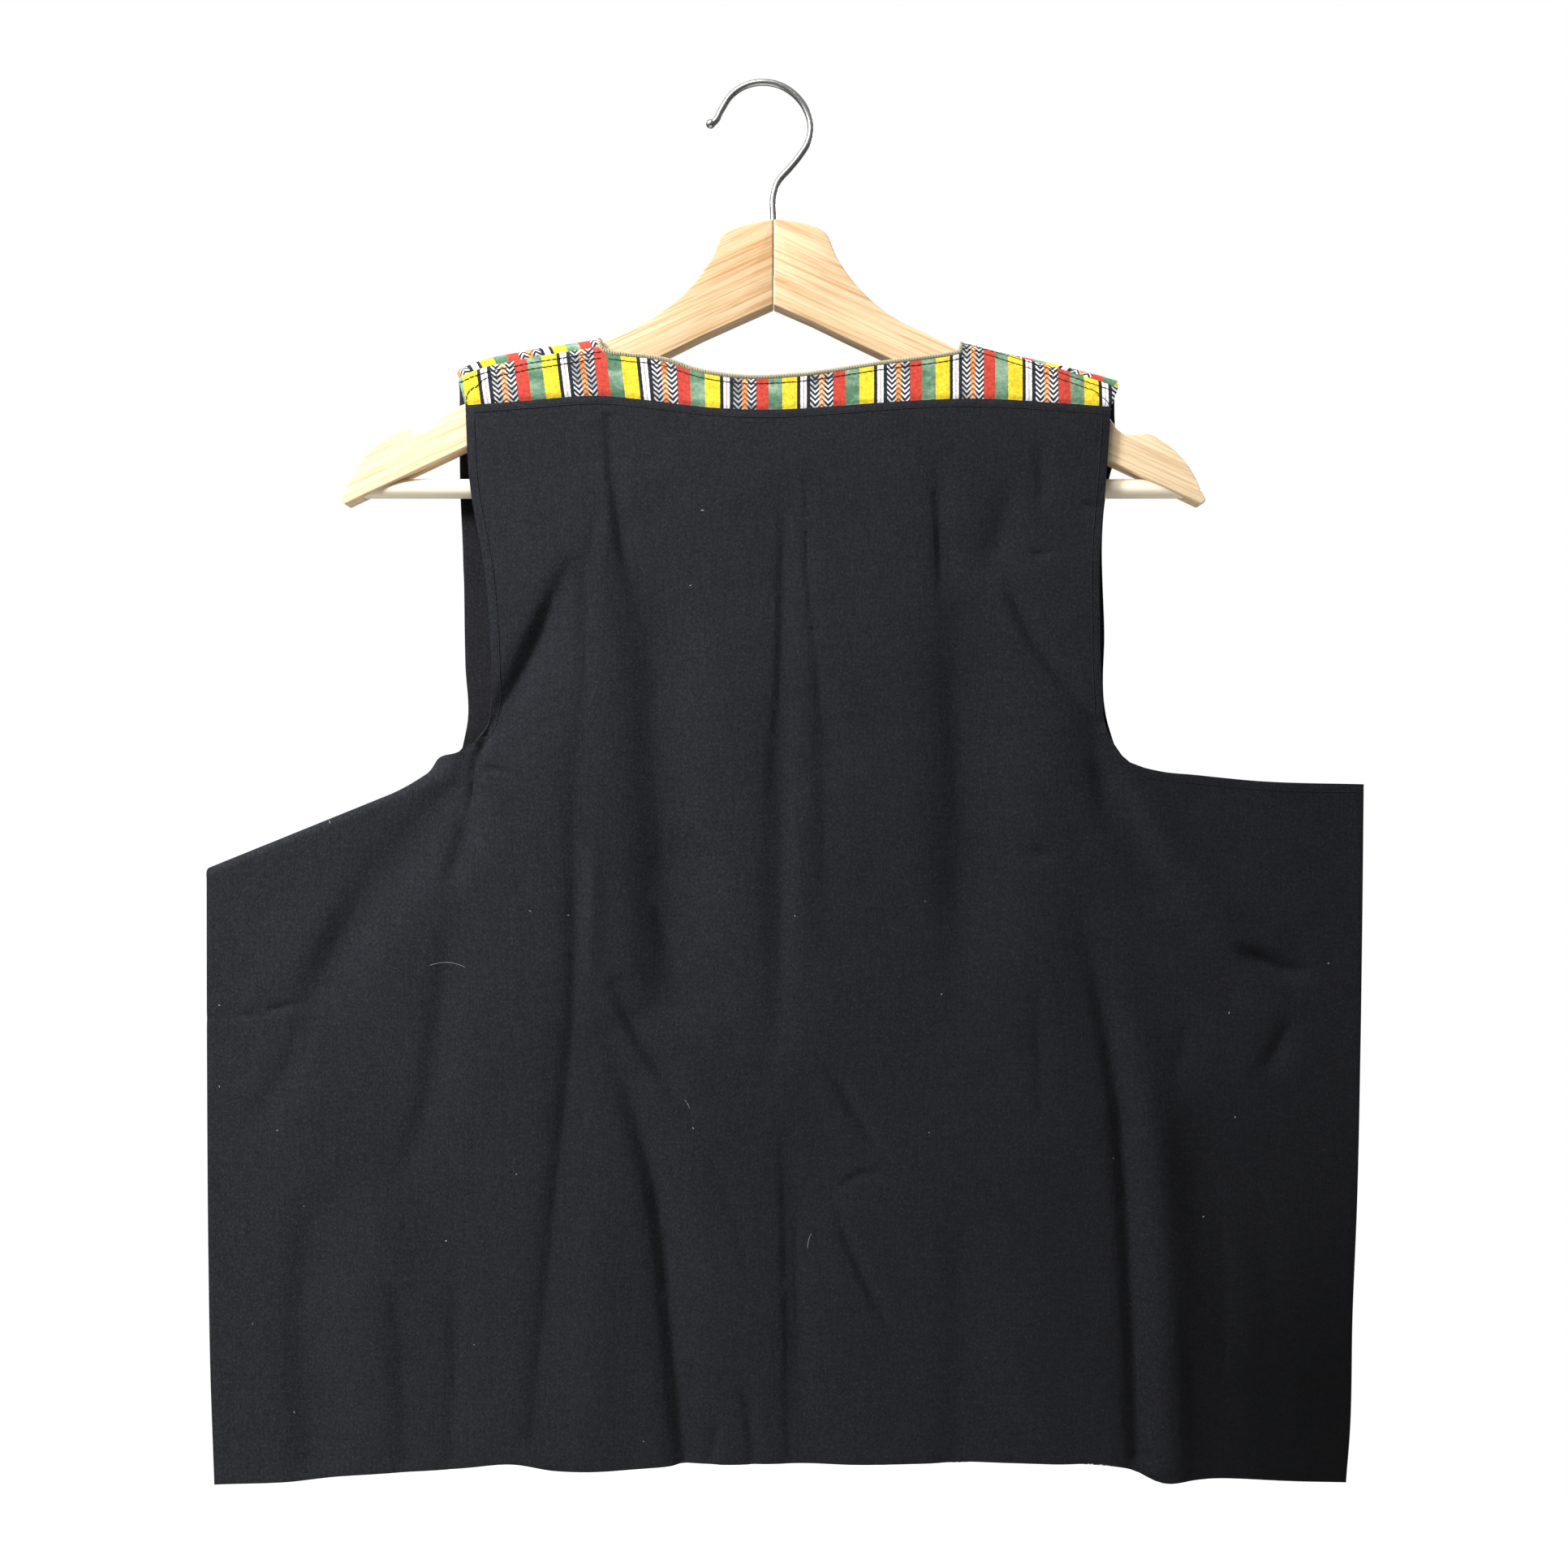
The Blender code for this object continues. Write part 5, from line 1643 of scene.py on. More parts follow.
def stitch_paths():
    """Every row of stitching as (piece, layer, plan path)."""
    left, right = shoulder_paths()
    rows = [
        ("back_yoke", BACK, moved_down(left[1:], SHOULDER_STITCHES[0])),
        ("back_yoke", BACK, moved_down(right[:-1], SHOULDER_STITCHES[0])),
        ("back_yoke", BACK, rounded_turn(-1)),
        ("back_yoke", BACK, rounded_turn(1)),
        ("back_yoke", BACK, moved_down(neck_path(), NECK_STITCH)),
        ("back_panel", BACK, moved_down(seam_path()[1:-1], SEAM_STITCH)),
        ("back_panel", BACK, beside(armhole_path(BACK_ARMHOLE_LEFT), ARMHOLE_STITCH)[2:]),
        ("back_panel", BACK, beside(armhole_path(BACK_ARMHOLE_RIGHT), -ARMHOLE_STITCH)[2:]),
    ]
    wing_x = np.linspace(WING_RIGHT_X[0] + 3, WING_RIGHT_X[-1] - 2, EDGE_POINTS)
    wing = on_plan(at_x(WING_TOP_RIGHT, wing_x))
    rows.append(("back_panel", BACK, moved_down(wing, ARMHOLE_STITCH)))
    for side, name in ((-1, "front_left"), (1, "front_right")):
        edge = front_edge_path(side)
        inner = beside(edge, side * FRONT_EDGE_STITCH)
        plan = np.column_stack([inner[:, 0], crest_z(inner[:, 0]) + CREST_EXTRA + inner[:, 1]])
        rows.append((name, FRONT, plan[inner[:, 1] < -FRONT_STITCH_STARTS]))
        table = FRONT_ARMHOLE_LEFT if side < 0 else FRONT_ARMHOLE_RIGHT
        rows.append((name, FRONT, beside(armhole_path(table), -side * ARMHOLE_STITCH)[1:-1]))
    return rows


def draws_of(name):
    """Seams and stitching that draw a piece in, as (depth, width, path) rows."""
    rows = [(STITCH_DIP, STITCH_DIP_WIDTH, path) for owner, _, path in stitch_paths() if owner == name]
    if name in ("back_yoke", "back_panel"):
        rows.append((SEAM_DIP, SEAM_DIP_WIDTH, seam_path()))
    if name == "back_yoke":
        rows += [(SEAM_DIP, SEAM_DIP_WIDTH, path) for path in shoulder_paths()]
    if name.startswith("front"):
        seam = shoulder_paths()[0 if name == "front_left" else 1]
        over = 2 * (crest_z(seam[:, 0]) + CREST_EXTRA) - seam[:, 1]
        rows.append((SEAM_DIP, SEAM_DIP_WIDTH, np.column_stack([seam[:, 0], over])))
    return rows


def instance_tree(name, sizes, shape):
    """A node group that sets a small shape along each path, a pitch apart and out from the cloth."""
    tree = bpy.data.node_groups.new(name, "GeometryNodeTree")
    face = tree.interface
    face.new_socket("Path", in_out="INPUT", socket_type="NodeSocketGeometry")
    for label, default in sizes:
        made = face.new_socket(label, in_out="INPUT", socket_type="NodeSocketFloat")
        made.default_value = default
    face.new_socket("Yarn", in_out="INPUT", socket_type="NodeSocketMaterial")
    face.new_socket("Geometry", in_out="OUTPUT", socket_type="NodeSocketGeometry")
    shop = Shop(tree)
    given = tree.nodes.new("NodeGroupInput")
    take = {socket.name: Socket(shop, socket) for socket in given.outputs if socket.name}
    curve = shop.add("GeometryNodeMeshToCurve", {}, {"Mesh": take["Path"]})
    points = shop.add(
        "GeometryNodeResampleCurve",
        {"mode": "LENGTH"},
        {"Curve": curve, "Length": take["Pitch"]},
    )
    outward = shop.add("GeometryNodeInputNamedAttribute", {"data_type": "FLOAT_VECTOR"}, {"Name": "outward"})
    tangent = shop.add("GeometryNodeInputTangent")
    turned = shop.add("FunctionNodeAlignRotationToVector", {"axis": "X"}, {"Vector": tangent})
    turned = shop.add(
        "FunctionNodeAlignRotationToVector",
        {"axis": "Z", "pivot_axis": "X"},
        {"Rotation": turned, "Vector": outward},
    )
    sway = shop.add(
        "FunctionNodeRandomValue",
        {"data_type": "FLOAT_VECTOR"},
        {0: (-0.03, -0.02, -SWAY), 1: (0.03, 0.02, SWAY), "Seed": SEED},
    )
    turned = shop.add("FunctionNodeRotateRotation", {"rotation_space": "LOCAL"}, {0: turned, 1: sway})
    set_out = shop.add(
        "GeometryNodeInstanceOnPoints",
        {},
        {"Points": points, "Instance": shape(shop, take), "Rotation": turned},
    )
    real = shop.add("GeometryNodeRealizeInstances", {}, {0: set_out})
    done = shop.add("GeometryNodeSetMaterial", {}, {"Geometry": real, "Material": take["Yarn"]})
    out = tree.nodes.new("NodeGroupOutput")
    tree.links.new(done.out, out.inputs[0])
    return tree


def stitch_shape(shop, take):
    """A short thread that rises from the cloth and goes back into it."""
    line = shop.add(
        "GeometryNodeCurvePrimitiveLine",
        {"mode": "POINTS"},
        {"Start": vector(shop, take["Length"] * -0.5), "End": vector(shop, take["Length"] * 0.5)},
    )
    bent = shop.add("GeometryNodeResampleCurve", {"mode": "COUNT"}, {"Curve": line, "Count": STITCH_POINTS})
    place_now = shop.add("GeometryNodeInputPosition")
    x = shop.add("ShaderNodeSeparateXYZ", {}, {0: place_now})
    share = x / take["Length"]
    rise = (0.25 - share * share) * take["Rise"] * 4.0
    lift = shop.add("ShaderNodeCombineXYZ", {}, {2: rise})
    bent = shop.add("GeometryNodeSetPosition", {}, {"Geometry": bent, "Offset": lift})
    ring = shop.add(
        "GeometryNodeCurvePrimitiveCircle", {}, {"Resolution": STITCH_SIDES, "Radius": take["Radius"]}
    )
    return shop.add("GeometryNodeCurveToMesh", {}, {0: bent, 1: ring, "Fill Caps": True})


def wrap_shape(shop, take):
    """A ring of thread that goes round the braid on the slant."""
    circle = shop.add(
        "GeometryNodeCurvePrimitiveCircle", {}, {"Resolution": WRAP_POINTS, "Radius": take["Length"]}
    )
    stood = shop.add(
        "GeometryNodeTransform",
        {},
        {"Geometry": circle, "Rotation": (0.0, math.pi / 2, WRAP_SLANT)},
    )
    ring = shop.add(
        "GeometryNodeCurvePrimitiveCircle", {}, {"Resolution": WRAP_SIDES, "Radius": take["Radius"]}
    )
    return shop.add("GeometryNodeCurveToMesh", {}, {0: stood, 1: ring})


def vector(shop, x):
    return shop.add("ShaderNodeCombineXYZ", {}, {0: x})


def along_paths(name, tree, values, paths, slot, nodes=()):
    """Runs a node group along paths of (points, outward directions) and keeps the plain mesh."""
    verts, edges, outward = [], [], []
    for points, out in paths:
        edges += [(len(verts) + i, len(verts) + i + 1) for i in range(len(points) - 1)]
        verts += [tuple(point * MM) for point in points]
        outward += [component for row in out for component in row]
    mesh = bpy.data.meshes.new(name + "_paths")
    mesh.from_pydata(verts, edges, [])
    mesh.attributes.new("outward", "FLOAT_VECTOR", "POINT").data.foreach_set("vector", outward)
    obj = linked(name + "_draft", mesh)
    nodes_on = obj.modifiers.new("along paths", "NODES")
    nodes_on.node_group = tree
    for socket in tree.interface.items_tree:
        if socket.in_out == "INPUT" and socket.name in values:
            nodes_on[socket.identifier] = values[socket.name]
    return piece(name, made_plain(obj), slot, *nodes)


def stitch_run(name, layer, path, wall, draws):
    """A plan path as points just on the cloth, and which way is out there."""
    fine = divided(np.asarray(path), STITCH_PATH_STEP)
    lift = relief(draws, fine) + wall / 2 + STITCH_SINK
    return on_cloth(layer, fine, lift), cloth_normal(layer, fine)


def wire(name, points, radius, made_of, sizes=None, resolution=6):
    """The plain mesh of a round wire or cord through points in millimetres."""
    curve = bpy.data.curves.new(name, "CURVE")
    curve.dimensions = "3D"
    curve.bevel_depth = radius * MM
    curve.bevel_resolution = resolution
    curve.use_fill_caps = True
    spline = curve.splines.new("POLY")
    spline.points.add(len(points) - 1)
    for i, point in enumerate(points):
        spline.points[i].co = (*(np.asarray(point) * MM), 1.0)
        spline.points[i].radius = 1.0 if sizes is None else sizes[i]
    curve.materials.append(made_of)
    obj = linked(name + "_draft", curve)
    mesh = made_plain(obj)
    work = bmesh.new()
    work.from_mesh(mesh)
    bmesh.ops.remove_doubles(work, verts=work.verts, dist=JOIN * MM)
    bmesh.ops.recalc_face_normals(work, faces=work.faces)
    work.to_mesh(mesh)
    work.free()
    mesh.shade_smooth()
    mesh.set_sharp_from_angle(angle=WIRE_SHARP)
    return mesh


def cord_mesh(name, points, half_width, half_depth, outward, sides, made_of):
    """A flattened cord through points, with its length and girth as the plan map in metres."""
    points = np.asarray(points, float)
    ahead = np.gradient(points, axis=0)
    ahead /= np.linalg.norm(ahead, axis=1)[:, None]
    outward = outward - np.sum(outward * ahead, axis=1)[:, None] * ahead
    outward /= np.linalg.norm(outward, axis=1)[:, None]
    beside_it = np.cross(ahead, outward)
    run = np.concatenate([[0.0], np.cumsum(np.linalg.norm(np.diff(points, axis=0), axis=1))])
    work = bmesh.new()
    uv = work.loops.layers.uv.new("plan")
    rings = []
    for point, out, across in zip(points, outward, beside_it):
        turns = [2 * math.pi * i / sides for i in range(sides)]
        ring = [
            point + across * half_width * math.cos(t) + out * half_depth * math.sin(t) for t in turns
        ]
        rings.append([work.verts.new(spot * MM) for spot in ring])
    girth = 2 * math.pi * half_width / sides
    for k, (first, second) in enumerate(zip(rings, rings[1:])):
        for i in range(sides):
            j = (i + 1) % sides
            face = work.faces.new((first[i], first[j], second[j], second[i]))
            spots = ((run[k], i), (run[k], i + 1), (run[k + 1], i + 1), (run[k + 1], i))
            for loop, (length, step) in zip(face.loops, spots):
                loop[uv].uv = (length * MM, step * girth * MM)
    work.faces.new(rings[0])
    work.faces.new(rings[-1])
    bmesh.ops.recalc_face_normals(work, faces=work.faces)
    mesh = mesh_of(work, name, made_of)
    mesh.shade_smooth()
    return mesh


def braid_route():
    """The braid's points and outward directions, up one front edge, round the neck and down the other."""
    neck = yoke_plan()[0]
    neck = neck[(neck[:, 0] >= NECK[1][0]) & (neck[:, 0] <= NECK[-1][0])]
    past = crest_z(neck[:, 0]) + CREST_EXTRA - neck[:, 1]
    back = np.column_stack([neck[:, 0], past])
    path = np.concatenate([front_edge_path(-1)[::-1], back, front_edge_path(1)])
    steps = np.linalg.norm(np.diff(path, axis=0), axis=1)
    path = path[np.concatenate([[True], steps > 0.2])]
    path = divided(beside(path, -BRAID_REACH), BRAID_EVERY)
    plan = np.column_stack([path[:, 0], crest_z(path[:, 0]) + CREST_EXTRA - np.abs(path[:, 1])])
    on_back = path[:, 1:] > 0
    points = np.where(on_back, place(BACK, plan), place(FRONT, plan))
    out = np.where(on_back, cloth_normal(BACK, plan), cloth_normal(FRONT, plan))
    return points, smoothed(out)


def smoothed(rows, passes=6):
    for _ in range(passes):
        rows[1:-1] = (rows[:-2] + rows[1:-1] * 2 + rows[2:]) / 4
    return rows / np.linalg.norm(rows, axis=1)[:, None]


def board(name, top, end, lower, gap, made_of):
    """One arm of the hanger, cut from board along its outline, edges rounded, sockets bored."""
    upper = follow(columns(top), even(ARM_STEPS))
    upper[0, 0] += gap
    under = columns(lower)
    under[-1, 0] += gap
    outline = np.concatenate([upper, follow(columns(end), even(ARM_END_STEPS)), under])
    half = ARM_THICKNESS / 2
    work = bmesh.new()
    near = [work.verts.new((x * MM, -half * MM, z * MM)) for x, z in outline]
    far = [work.verts.new((x * MM, half * MM, z * MM)) for x, z in outline]
    work.faces.new(near)
    work.faces.new(far[::-1])
    for i in range(len(outline)):
        j = (i + 1) % len(outline)
        work.faces.new((near[j], near[i], far[i], far[j]))
    bmesh.ops.recalc_face_normals(work, faces=work.faces)
    mesh = mesh_of(work, name, made_of)
    obj = linked(name + "_draft", mesh)
    edges = obj.modifiers.new("rounded edges", "BEVEL")
    edges.width = ARM_ROUND * MM
    edges.segments = 4
    edges.limit_method = "ANGLE"
    edges.angle_limit = ARM_ROUNDED_ABOVE
    cutters = [
        rod("socket", BAR_RADIUS + BORE_CLEARANCE, *bar_ends(BORE_CLEARANCE), made_of),
        rod(
            "bore",
            HOOK_RADIUS + BORE_CLEARANCE,
            (HANGER_X, 0, HOOK_POINTS[1][1] - BORE_CLEARANCE),
            (HANGER_X, 0, HOOK_BORE_TOP),
            made_of,
        ),
    ]
    for cutter in cutters:
        take = obj.modifiers.new("cut " + cutter.name, "BOOLEAN")
        take.operation = "DIFFERENCE"
        take.object = cutter
    made = made_plain(obj, ARM_SHARP)
    for cutter in cutters:
        bpy.data.objects.remove(cutter)
    return made


def bar_ends(extra=0.0):
    return (BAR_ENDS[0] - extra, 0, BAR_Z), (BAR_ENDS[1] + extra, 0, BAR_Z)


def rod(name, radius, start, end, made_of, sides=ROD_SIDES, chamfer=0.0):
    """A round rod between two points in millimetres, its rims eased by the chamfer."""
    start, end = Vector(start) * MM, Vector(end) * MM
    along = (end - start).normalized()
    turn = along.to_track_quat("Z", "Y")
    work = bmesh.new()
    stops = [(0.0, radius - chamfer), (chamfer, radius)]
    length = (end - start).length / MM
    stops += [(length * i / ROD_STEPS, radius) for i in range(1, ROD_STEPS)]
    stops += [(length - chamfer, radius), (length, radius - chamfer)]
    if chamfer == 0.0:
        stops = [(0.0, radius), (length, radius)]
    rings = []
    for distance, size in stops:
        ring = []
        for i in range(sides):
            angle = 2 * math.pi * i / sides
            spot = Vector((math.cos(angle) * size, math.sin(angle) * size, distance)) * MM
            ring.append(work.verts.new(start + turn @ spot))
        rings.append(ring)
    for first, second in zip(rings, rings[1:]):
        for i in range(sides):
            j = (i + 1) % sides
            work.faces.new((first[i], first[j], second[j], second[i]))
    work.faces.new(rings[0][::-1])
    work.faces.new(rings[-1])
    bmesh.ops.recalc_face_normals(work, faces=work.faces)
    mesh = mesh_of(work, name, made_of)
    return linked(name, mesh)


def colour_of(words, default, text):
    return FloatVectorProperty(
        name=words, description=text, default=default, size=3, subtype="COLOR", min=0.0, max=1.0
    )


class VestCloth(PropertyGroup):
    """Colours of the cloth and sizes of its sewing."""

    black: colour_of("Black cotton", (0.0120, 0.0125, 0.0150), "Colour of the back panel")
    lining: colour_of("Lining", (0.011, 0.011, 0.013), "Colour of the fronts' lining")
    # painted light: how strongly the black is painted paler towards the key light and darker away from it
    fade: FloatProperty(
        name="Painted light share", description="How strongly light and shade are painted onto the black", default=0.42, min=0.0, max=1.0
    )
    white: colour_of("White yarn", (0.80, 0.79, 0.79), "White of the stripes and herringbone")
    grey: colour_of("Grey yarn", (0.30, 0.31, 0.33), "Grey part of the white yarn")
    dark: colour_of("Black yarn", (0.016, 0.018, 0.026), "Ground between the stripes")
    red: colour_of("Red yarn", (0.52, 0.055, 0.034), "Red stripe")
    green: colour_of("Green yarn", (0.085, 0.185, 0.105), "Darker part of the green stripe")
    mint: colour_of("Mint yarn", (0.25, 0.37, 0.25), "Paler part of the green stripe")
    yellow: colour_of("Yellow yarn", (0.79, 0.61, 0.035), "Yellow stripe")
    amber: colour_of("Amber yarn", (0.86, 0.42, 0.01), "Warm blotches of the yellow stripe")
    orange: colour_of("Orange yarn", (0.72, 0.27, 0.07), "Middle column of the herringbone")
    peach: colour_of("Peach yarn", (0.86, 0.52, 0.26), "Paler part of the orange column")
    braid: colour_of("Braid", (0.47, 0.42, 0.28), "Beige braid at the neck")
    thread: colour_of("Thread", (0.010, 0.009, 0.010), "Black sewing thread")
    pitch: FloatProperty(
        name="Stitch pitch",
        description="From one stitch to the next",
        default=0.0028,
        min=0.001,
        unit="LENGTH",
    )
    wrap_pitch: FloatProperty(
        name="Overcast pitch",
        description="From one turn of the overcast thread to the next",
        default=0.0014,
        min=0.0006,
        unit="LENGTH",
    )


class VestHanger(PropertyGroup):
    """Colours of the hanger."""

    light: colour_of("Pale wood", (0.87, 0.68, 0.44), "Lighter grain of the arms")
    dark: colour_of("Grain", (0.50, 0.27, 0.11), "Darker grain of the arms")
    bar_light: colour_of("Bar wood", (0.96, 0.86, 0.66), "Lighter grain of the bar")
    bar_dark: colour_of("Bar grain", (0.86, 0.68, 0.46), "Darker grain of the bar")
    wire: colour_of("Plating", (0.44, 0.44, 0.43), "Plated wire of the hook")


class VestStage(PropertyGroup):
    """Floor, light and camera."""

    floor: colour_of("Floor", (0.93, 0.93, 0.93), "Colour of the floor")
    sky: FloatProperty(name="Sky", description="Brightness all round", default=0.22, min=0.0)
    key: FloatProperty(name="Key light", description="Power of the main light", default=68.0, min=0.0)
    distance: FloatProperty(
        name="Camera distance",
        description="From the camera to the middle of the hanger",
        default=0.90,
        min=0.3,
        unit="LENGTH",
    )
    frame_width: FloatProperty(
        name="Frame width",
        description="What the camera takes in at the hanger",
        default=0.8126,
        min=0.1,
        unit="LENGTH",
    )


def settings():
    return bpy.context.scene.vest_cloth, bpy.context.scene.vest_hanger, bpy.context.scene.vest_stage


def stripe_colours(cloth):
    names = ("white", "grey", "red", "green", "mint", "yellow", "amber", "orange", "peach")
    colours = {name: tuple(getattr(cloth, name)) for name in names}
    colours["black"] = tuple(cloth.dark)
    colours["brown"] = BROWN_LINE
    colours["rust"] = RUST_LINE
    return colours


class VEST_OT_back(Operator):
    """Hang the plain black back panel"""

    bl_idname = "vest.back"
    bl_label = "Back panel"

    def execute(self, context):
        cloth = settings()[0]
        plans = back_plans()
        mesh = panel_surface("back_panel", BACK, plans, draws_of("back_panel"))
        look = black_cotton("black plain weave", cloth.black, cloth.fade)
        made = shell("back_panel_cloth", mesh, BACK_WALL, look, "black_cotton", "back_panel")
        declare_sheet(plans)
        return {"FINISHED"}


class VEST_OT_striped(Operator):
    """Hang the striped yoke and fronts, with the fronts' linings"""

    bl_idname = "vest.striped"
    bl_label = "Yoke, fronts and linings"

    def execute(self, context):
        cloth = settings()[0]
        look = striped_weave("woven stripes", stripe_colours(cloth))
        # the lining gets a weaker painted light falloff and the same painted shade in the low corner
        inside = black_cotton("lining weave", cloth.lining, 0.15)
        plans = [yoke_plan()]
        mesh = panel_surface("back_yoke", BACK, plans, draws_of("back_yoke"), yoke_stripe)
        made = shell("back_yoke_cloth", mesh, BACK_WALL, look, "striped_weave", "back_yoke")
        declare_sheet(plans)
        for side, name in ((-1, "front_left"), (1, "front_right")):
            plans = front_plans(side)
            mesh = panel_surface(name, FRONT, plans, draws_of(name), front_stripe(side))
            lining = mesh.copy()
            away = (FRONT_WALL + LINING_WALL) / 2 + SEAM_GAP
            hem = FRONT_HEM_LEFT if side < 0 else FRONT_HEM_RIGHT
            lowest = at_x(hem, [vertex.co.x / MM for vertex in lining.vertices])[:, 1] + LINING_SHORT
            for vertex, out, low in zip(lining.vertices, [v.normal.copy() for v in mesh.vertices], lowest):
                vertex.co -= out * away * MM
                vertex.co.z = max(vertex.co.z, low * MM)
            made = shell(name + "_cloth", mesh, FRONT_WALL, look, "striped_weave", name)
            declare_sheet(plans)
            node = name + "_lining"
            made = shell(node + "_cloth", lining, LINING_WALL, inside, "lining_cotton", node)
            declare_sheet(plans)
        return {"FINISHED"}


class VEST_OT_sewing(Operator):
    """Sew the rows of stitching and lay the overcast braid round the neck"""

    bl_idname = "vest.sewing"
    bl_label = "Stitching and braid"

    def execute(self, context):
        cloth = settings()[0]
        thread = sewing_thread("black sewing thread", cloth.thread)
        sizes = (("Pitch", 0.0028), ("Length", 0.002), ("Radius", 0.0002), ("Rise", 0.0002))
        stitches = instance_tree("row of stitches", sizes, stitch_shape)
        values = {
            "Pitch": cloth.pitch,
            "Length": cloth.pitch * STITCH_SHARE,
            "Radius": THREAD_RADIUS * MM,
            "Rise": STITCH_RISE * MM,
            "Yarn": thread,
        }
        groups = {}
        for owner, layer, path in stitch_paths():
            wall = BACK_WALL if layer == BACK else FRONT_WALL
            groups.setdefault(owner, []).append(stitch_run(owner, layer, path, wall, draws_of(owner)))
        slots = {"back_panel": "black_cotton"}
        for owner, paths in groups.items():
            slot = slots.get(owner, "striped_weave")
            along_paths(owner + "_stitches", stitches, values, paths, slot)

        points, out = braid_route()
        look = braid_yarn("beige braid", cloth.braid)
        sizes = (BRAID_HALF_WIDTH, BRAID_HALF_DEPTH)
        mesh = cord_mesh("neck_braid", points, *sizes, out, BRAID_SIDES, look)
        piece("neck_braid_cord", mesh, "braid", "neck_braid")
        sizes = (("Pitch", 0.0014), ("Length", 0.0013), ("Radius", 0.00015))
        wraps = instance_tree("overcast thread", sizes, wrap_shape)
        dark = sewing_thread("overcast thread", OVERCAST_COLOUR)
        values = {
            "Pitch": cloth.wrap_pitch,
            "Length": (BRAID_HALF_DEPTH + OVERCAST_LIFT) * MM,
            "Radius": OVERCAST_RADIUS * MM,
            "Yarn": dark,
        }
        along_paths("neck_braid_overcast", wraps, values, [(points, out)], "braid")
        return {"FINISHED"}


class VEST_OT_lint(Operator):
    """Leave a few pale specks and hairs on the black cloth"""

    bl_idname = "vest.lint"
    bl_label = "Lint"

    def execute(self, context):
        look = sewing_thread("lint", LINT_COLOUR)
        draws = draws_of("back_panel")
        randoms = np.random.default_rng(SEED)
        work = bmesh.new()
        rows = list(LINT[1:])
        for _ in range(LINT_EXTRA):
            x, z = randoms.uniform(-270, 295), randoms.uniform(-700, -390)
            way = randoms.uniform(0.0, 2 * math.pi)
            rows.append((x, z, randoms.uniform(0.4, 0.9), way))
        for x, z, length, turn in rows:
            curl = randoms.uniform(-1.6, 1.6)
            steps = max(4, int(length * 2))
            spot = np.array([x, plan_height(x, z)], float)
            path = [spot.copy()]
            for _ in range(steps):
                spot += np.array([math.cos(turn), math.sin(turn)]) * length / steps
                turn += curl / steps
                path.append(spot.copy())
            path = np.array(path)
            lift = relief(draws, path) + BACK_WALL / 2 + 0.10
            points = on_cloth(BACK, path, lift)
            thick = min(0.16, 0.05 + 0.05 / length) if length > 3 else 0.15
            hair(work, points, cloth_normal(BACK, path), thick)
        mesh = mesh_of(work, "lint", look)
        mesh.shade_smooth()
        piece("lint", mesh, "black_cotton")
        return {"FINISHED"}


def hair(work, points, outward, radius):
    """A fine four-sided hair through points, closed at both ends."""
    ahead = np.gradient(points, axis=0)
    ahead /= np.linalg.norm(ahead, axis=1)[:, None]
    aside = np.cross(ahead, outward)
    rings = []
    for point, out, side in zip(points, outward, aside):
        corners = (out, side, -out, -side)
        rings.append([work.verts.new((point + corner * radius) * MM) for corner in corners])
    for first, second in zip(rings, rings[1:]):
        for i in range(4):
            j = (i + 1) % 4
            work.faces.new((first[i], second[i], second[j], first[j]))
    work.faces.new(rings[0])
    work.faces.new(rings[-1][::-1])


class VEST_OT_hanger(Operator):
    """Make the wooden arms, the trouser bar and the wire hook"""

    bl_idname = "vest.hanger"
    bl_label = "Hanger"

    def execute(self, context):
        hanger = settings()[1]
        # the last number of each row is how far painted shade darkens the arm's top: more on the left arm,
        # which the key light reaches most
        shapes = (
            ("hanger_arm_left", ARM_TOP_LEFT, ARM_END_LEFT, ARM_LOWER_LEFT, -1, 0.44),
            ("hanger_arm_right", ARM_TOP_RIGHT, ARM_END_RIGHT, ARM_LOWER_RIGHT, 1, 0.28),
        )
        for name, top, end, lower, side, top_shade_share in shapes:
            look = hanger_wood(name + " wood", hanger.light, hanger.dark, -side * ARM_SLOPE, top_shade_share)
            mesh = board(name, top, end, lower, side * SEAM_GAP / 2, look)
            piece(name + "_wood", mesh, "hanger_wood", name)
        look = hanger_wood("trouser bar wood", hanger.bar_light, hanger.bar_dark, 0.0, 0.0)
        bar = rod("bar_draft", BAR_RADIUS, *bar_ends(), look, chamfer=BAR_CHAMFER)
        piece("trouser_bar_wood", made_plain(bar, ARM_SHARP), "bar_wood", "trouser_bar")
        rows = columns(HOOK_POINTS)
        route = follow(rows, even(HOOK_STEPS))
        points = np.column_stack([route[:, 0], np.zeros(len(route)), route[:, 1]])
        sizes = np.ones(len(points))
        sizes[-len(HOOK_TIP_SIZES) :] = HOOK_TIP_SIZES
        mesh = wire("hanger_hook", points, HOOK_RADIUS, plated_wire("plated wire", hanger.wire), sizes)
        piece("hanger_hook_wire", mesh, "hook_metal", "hanger_hook")
        return {"FINISHED"}


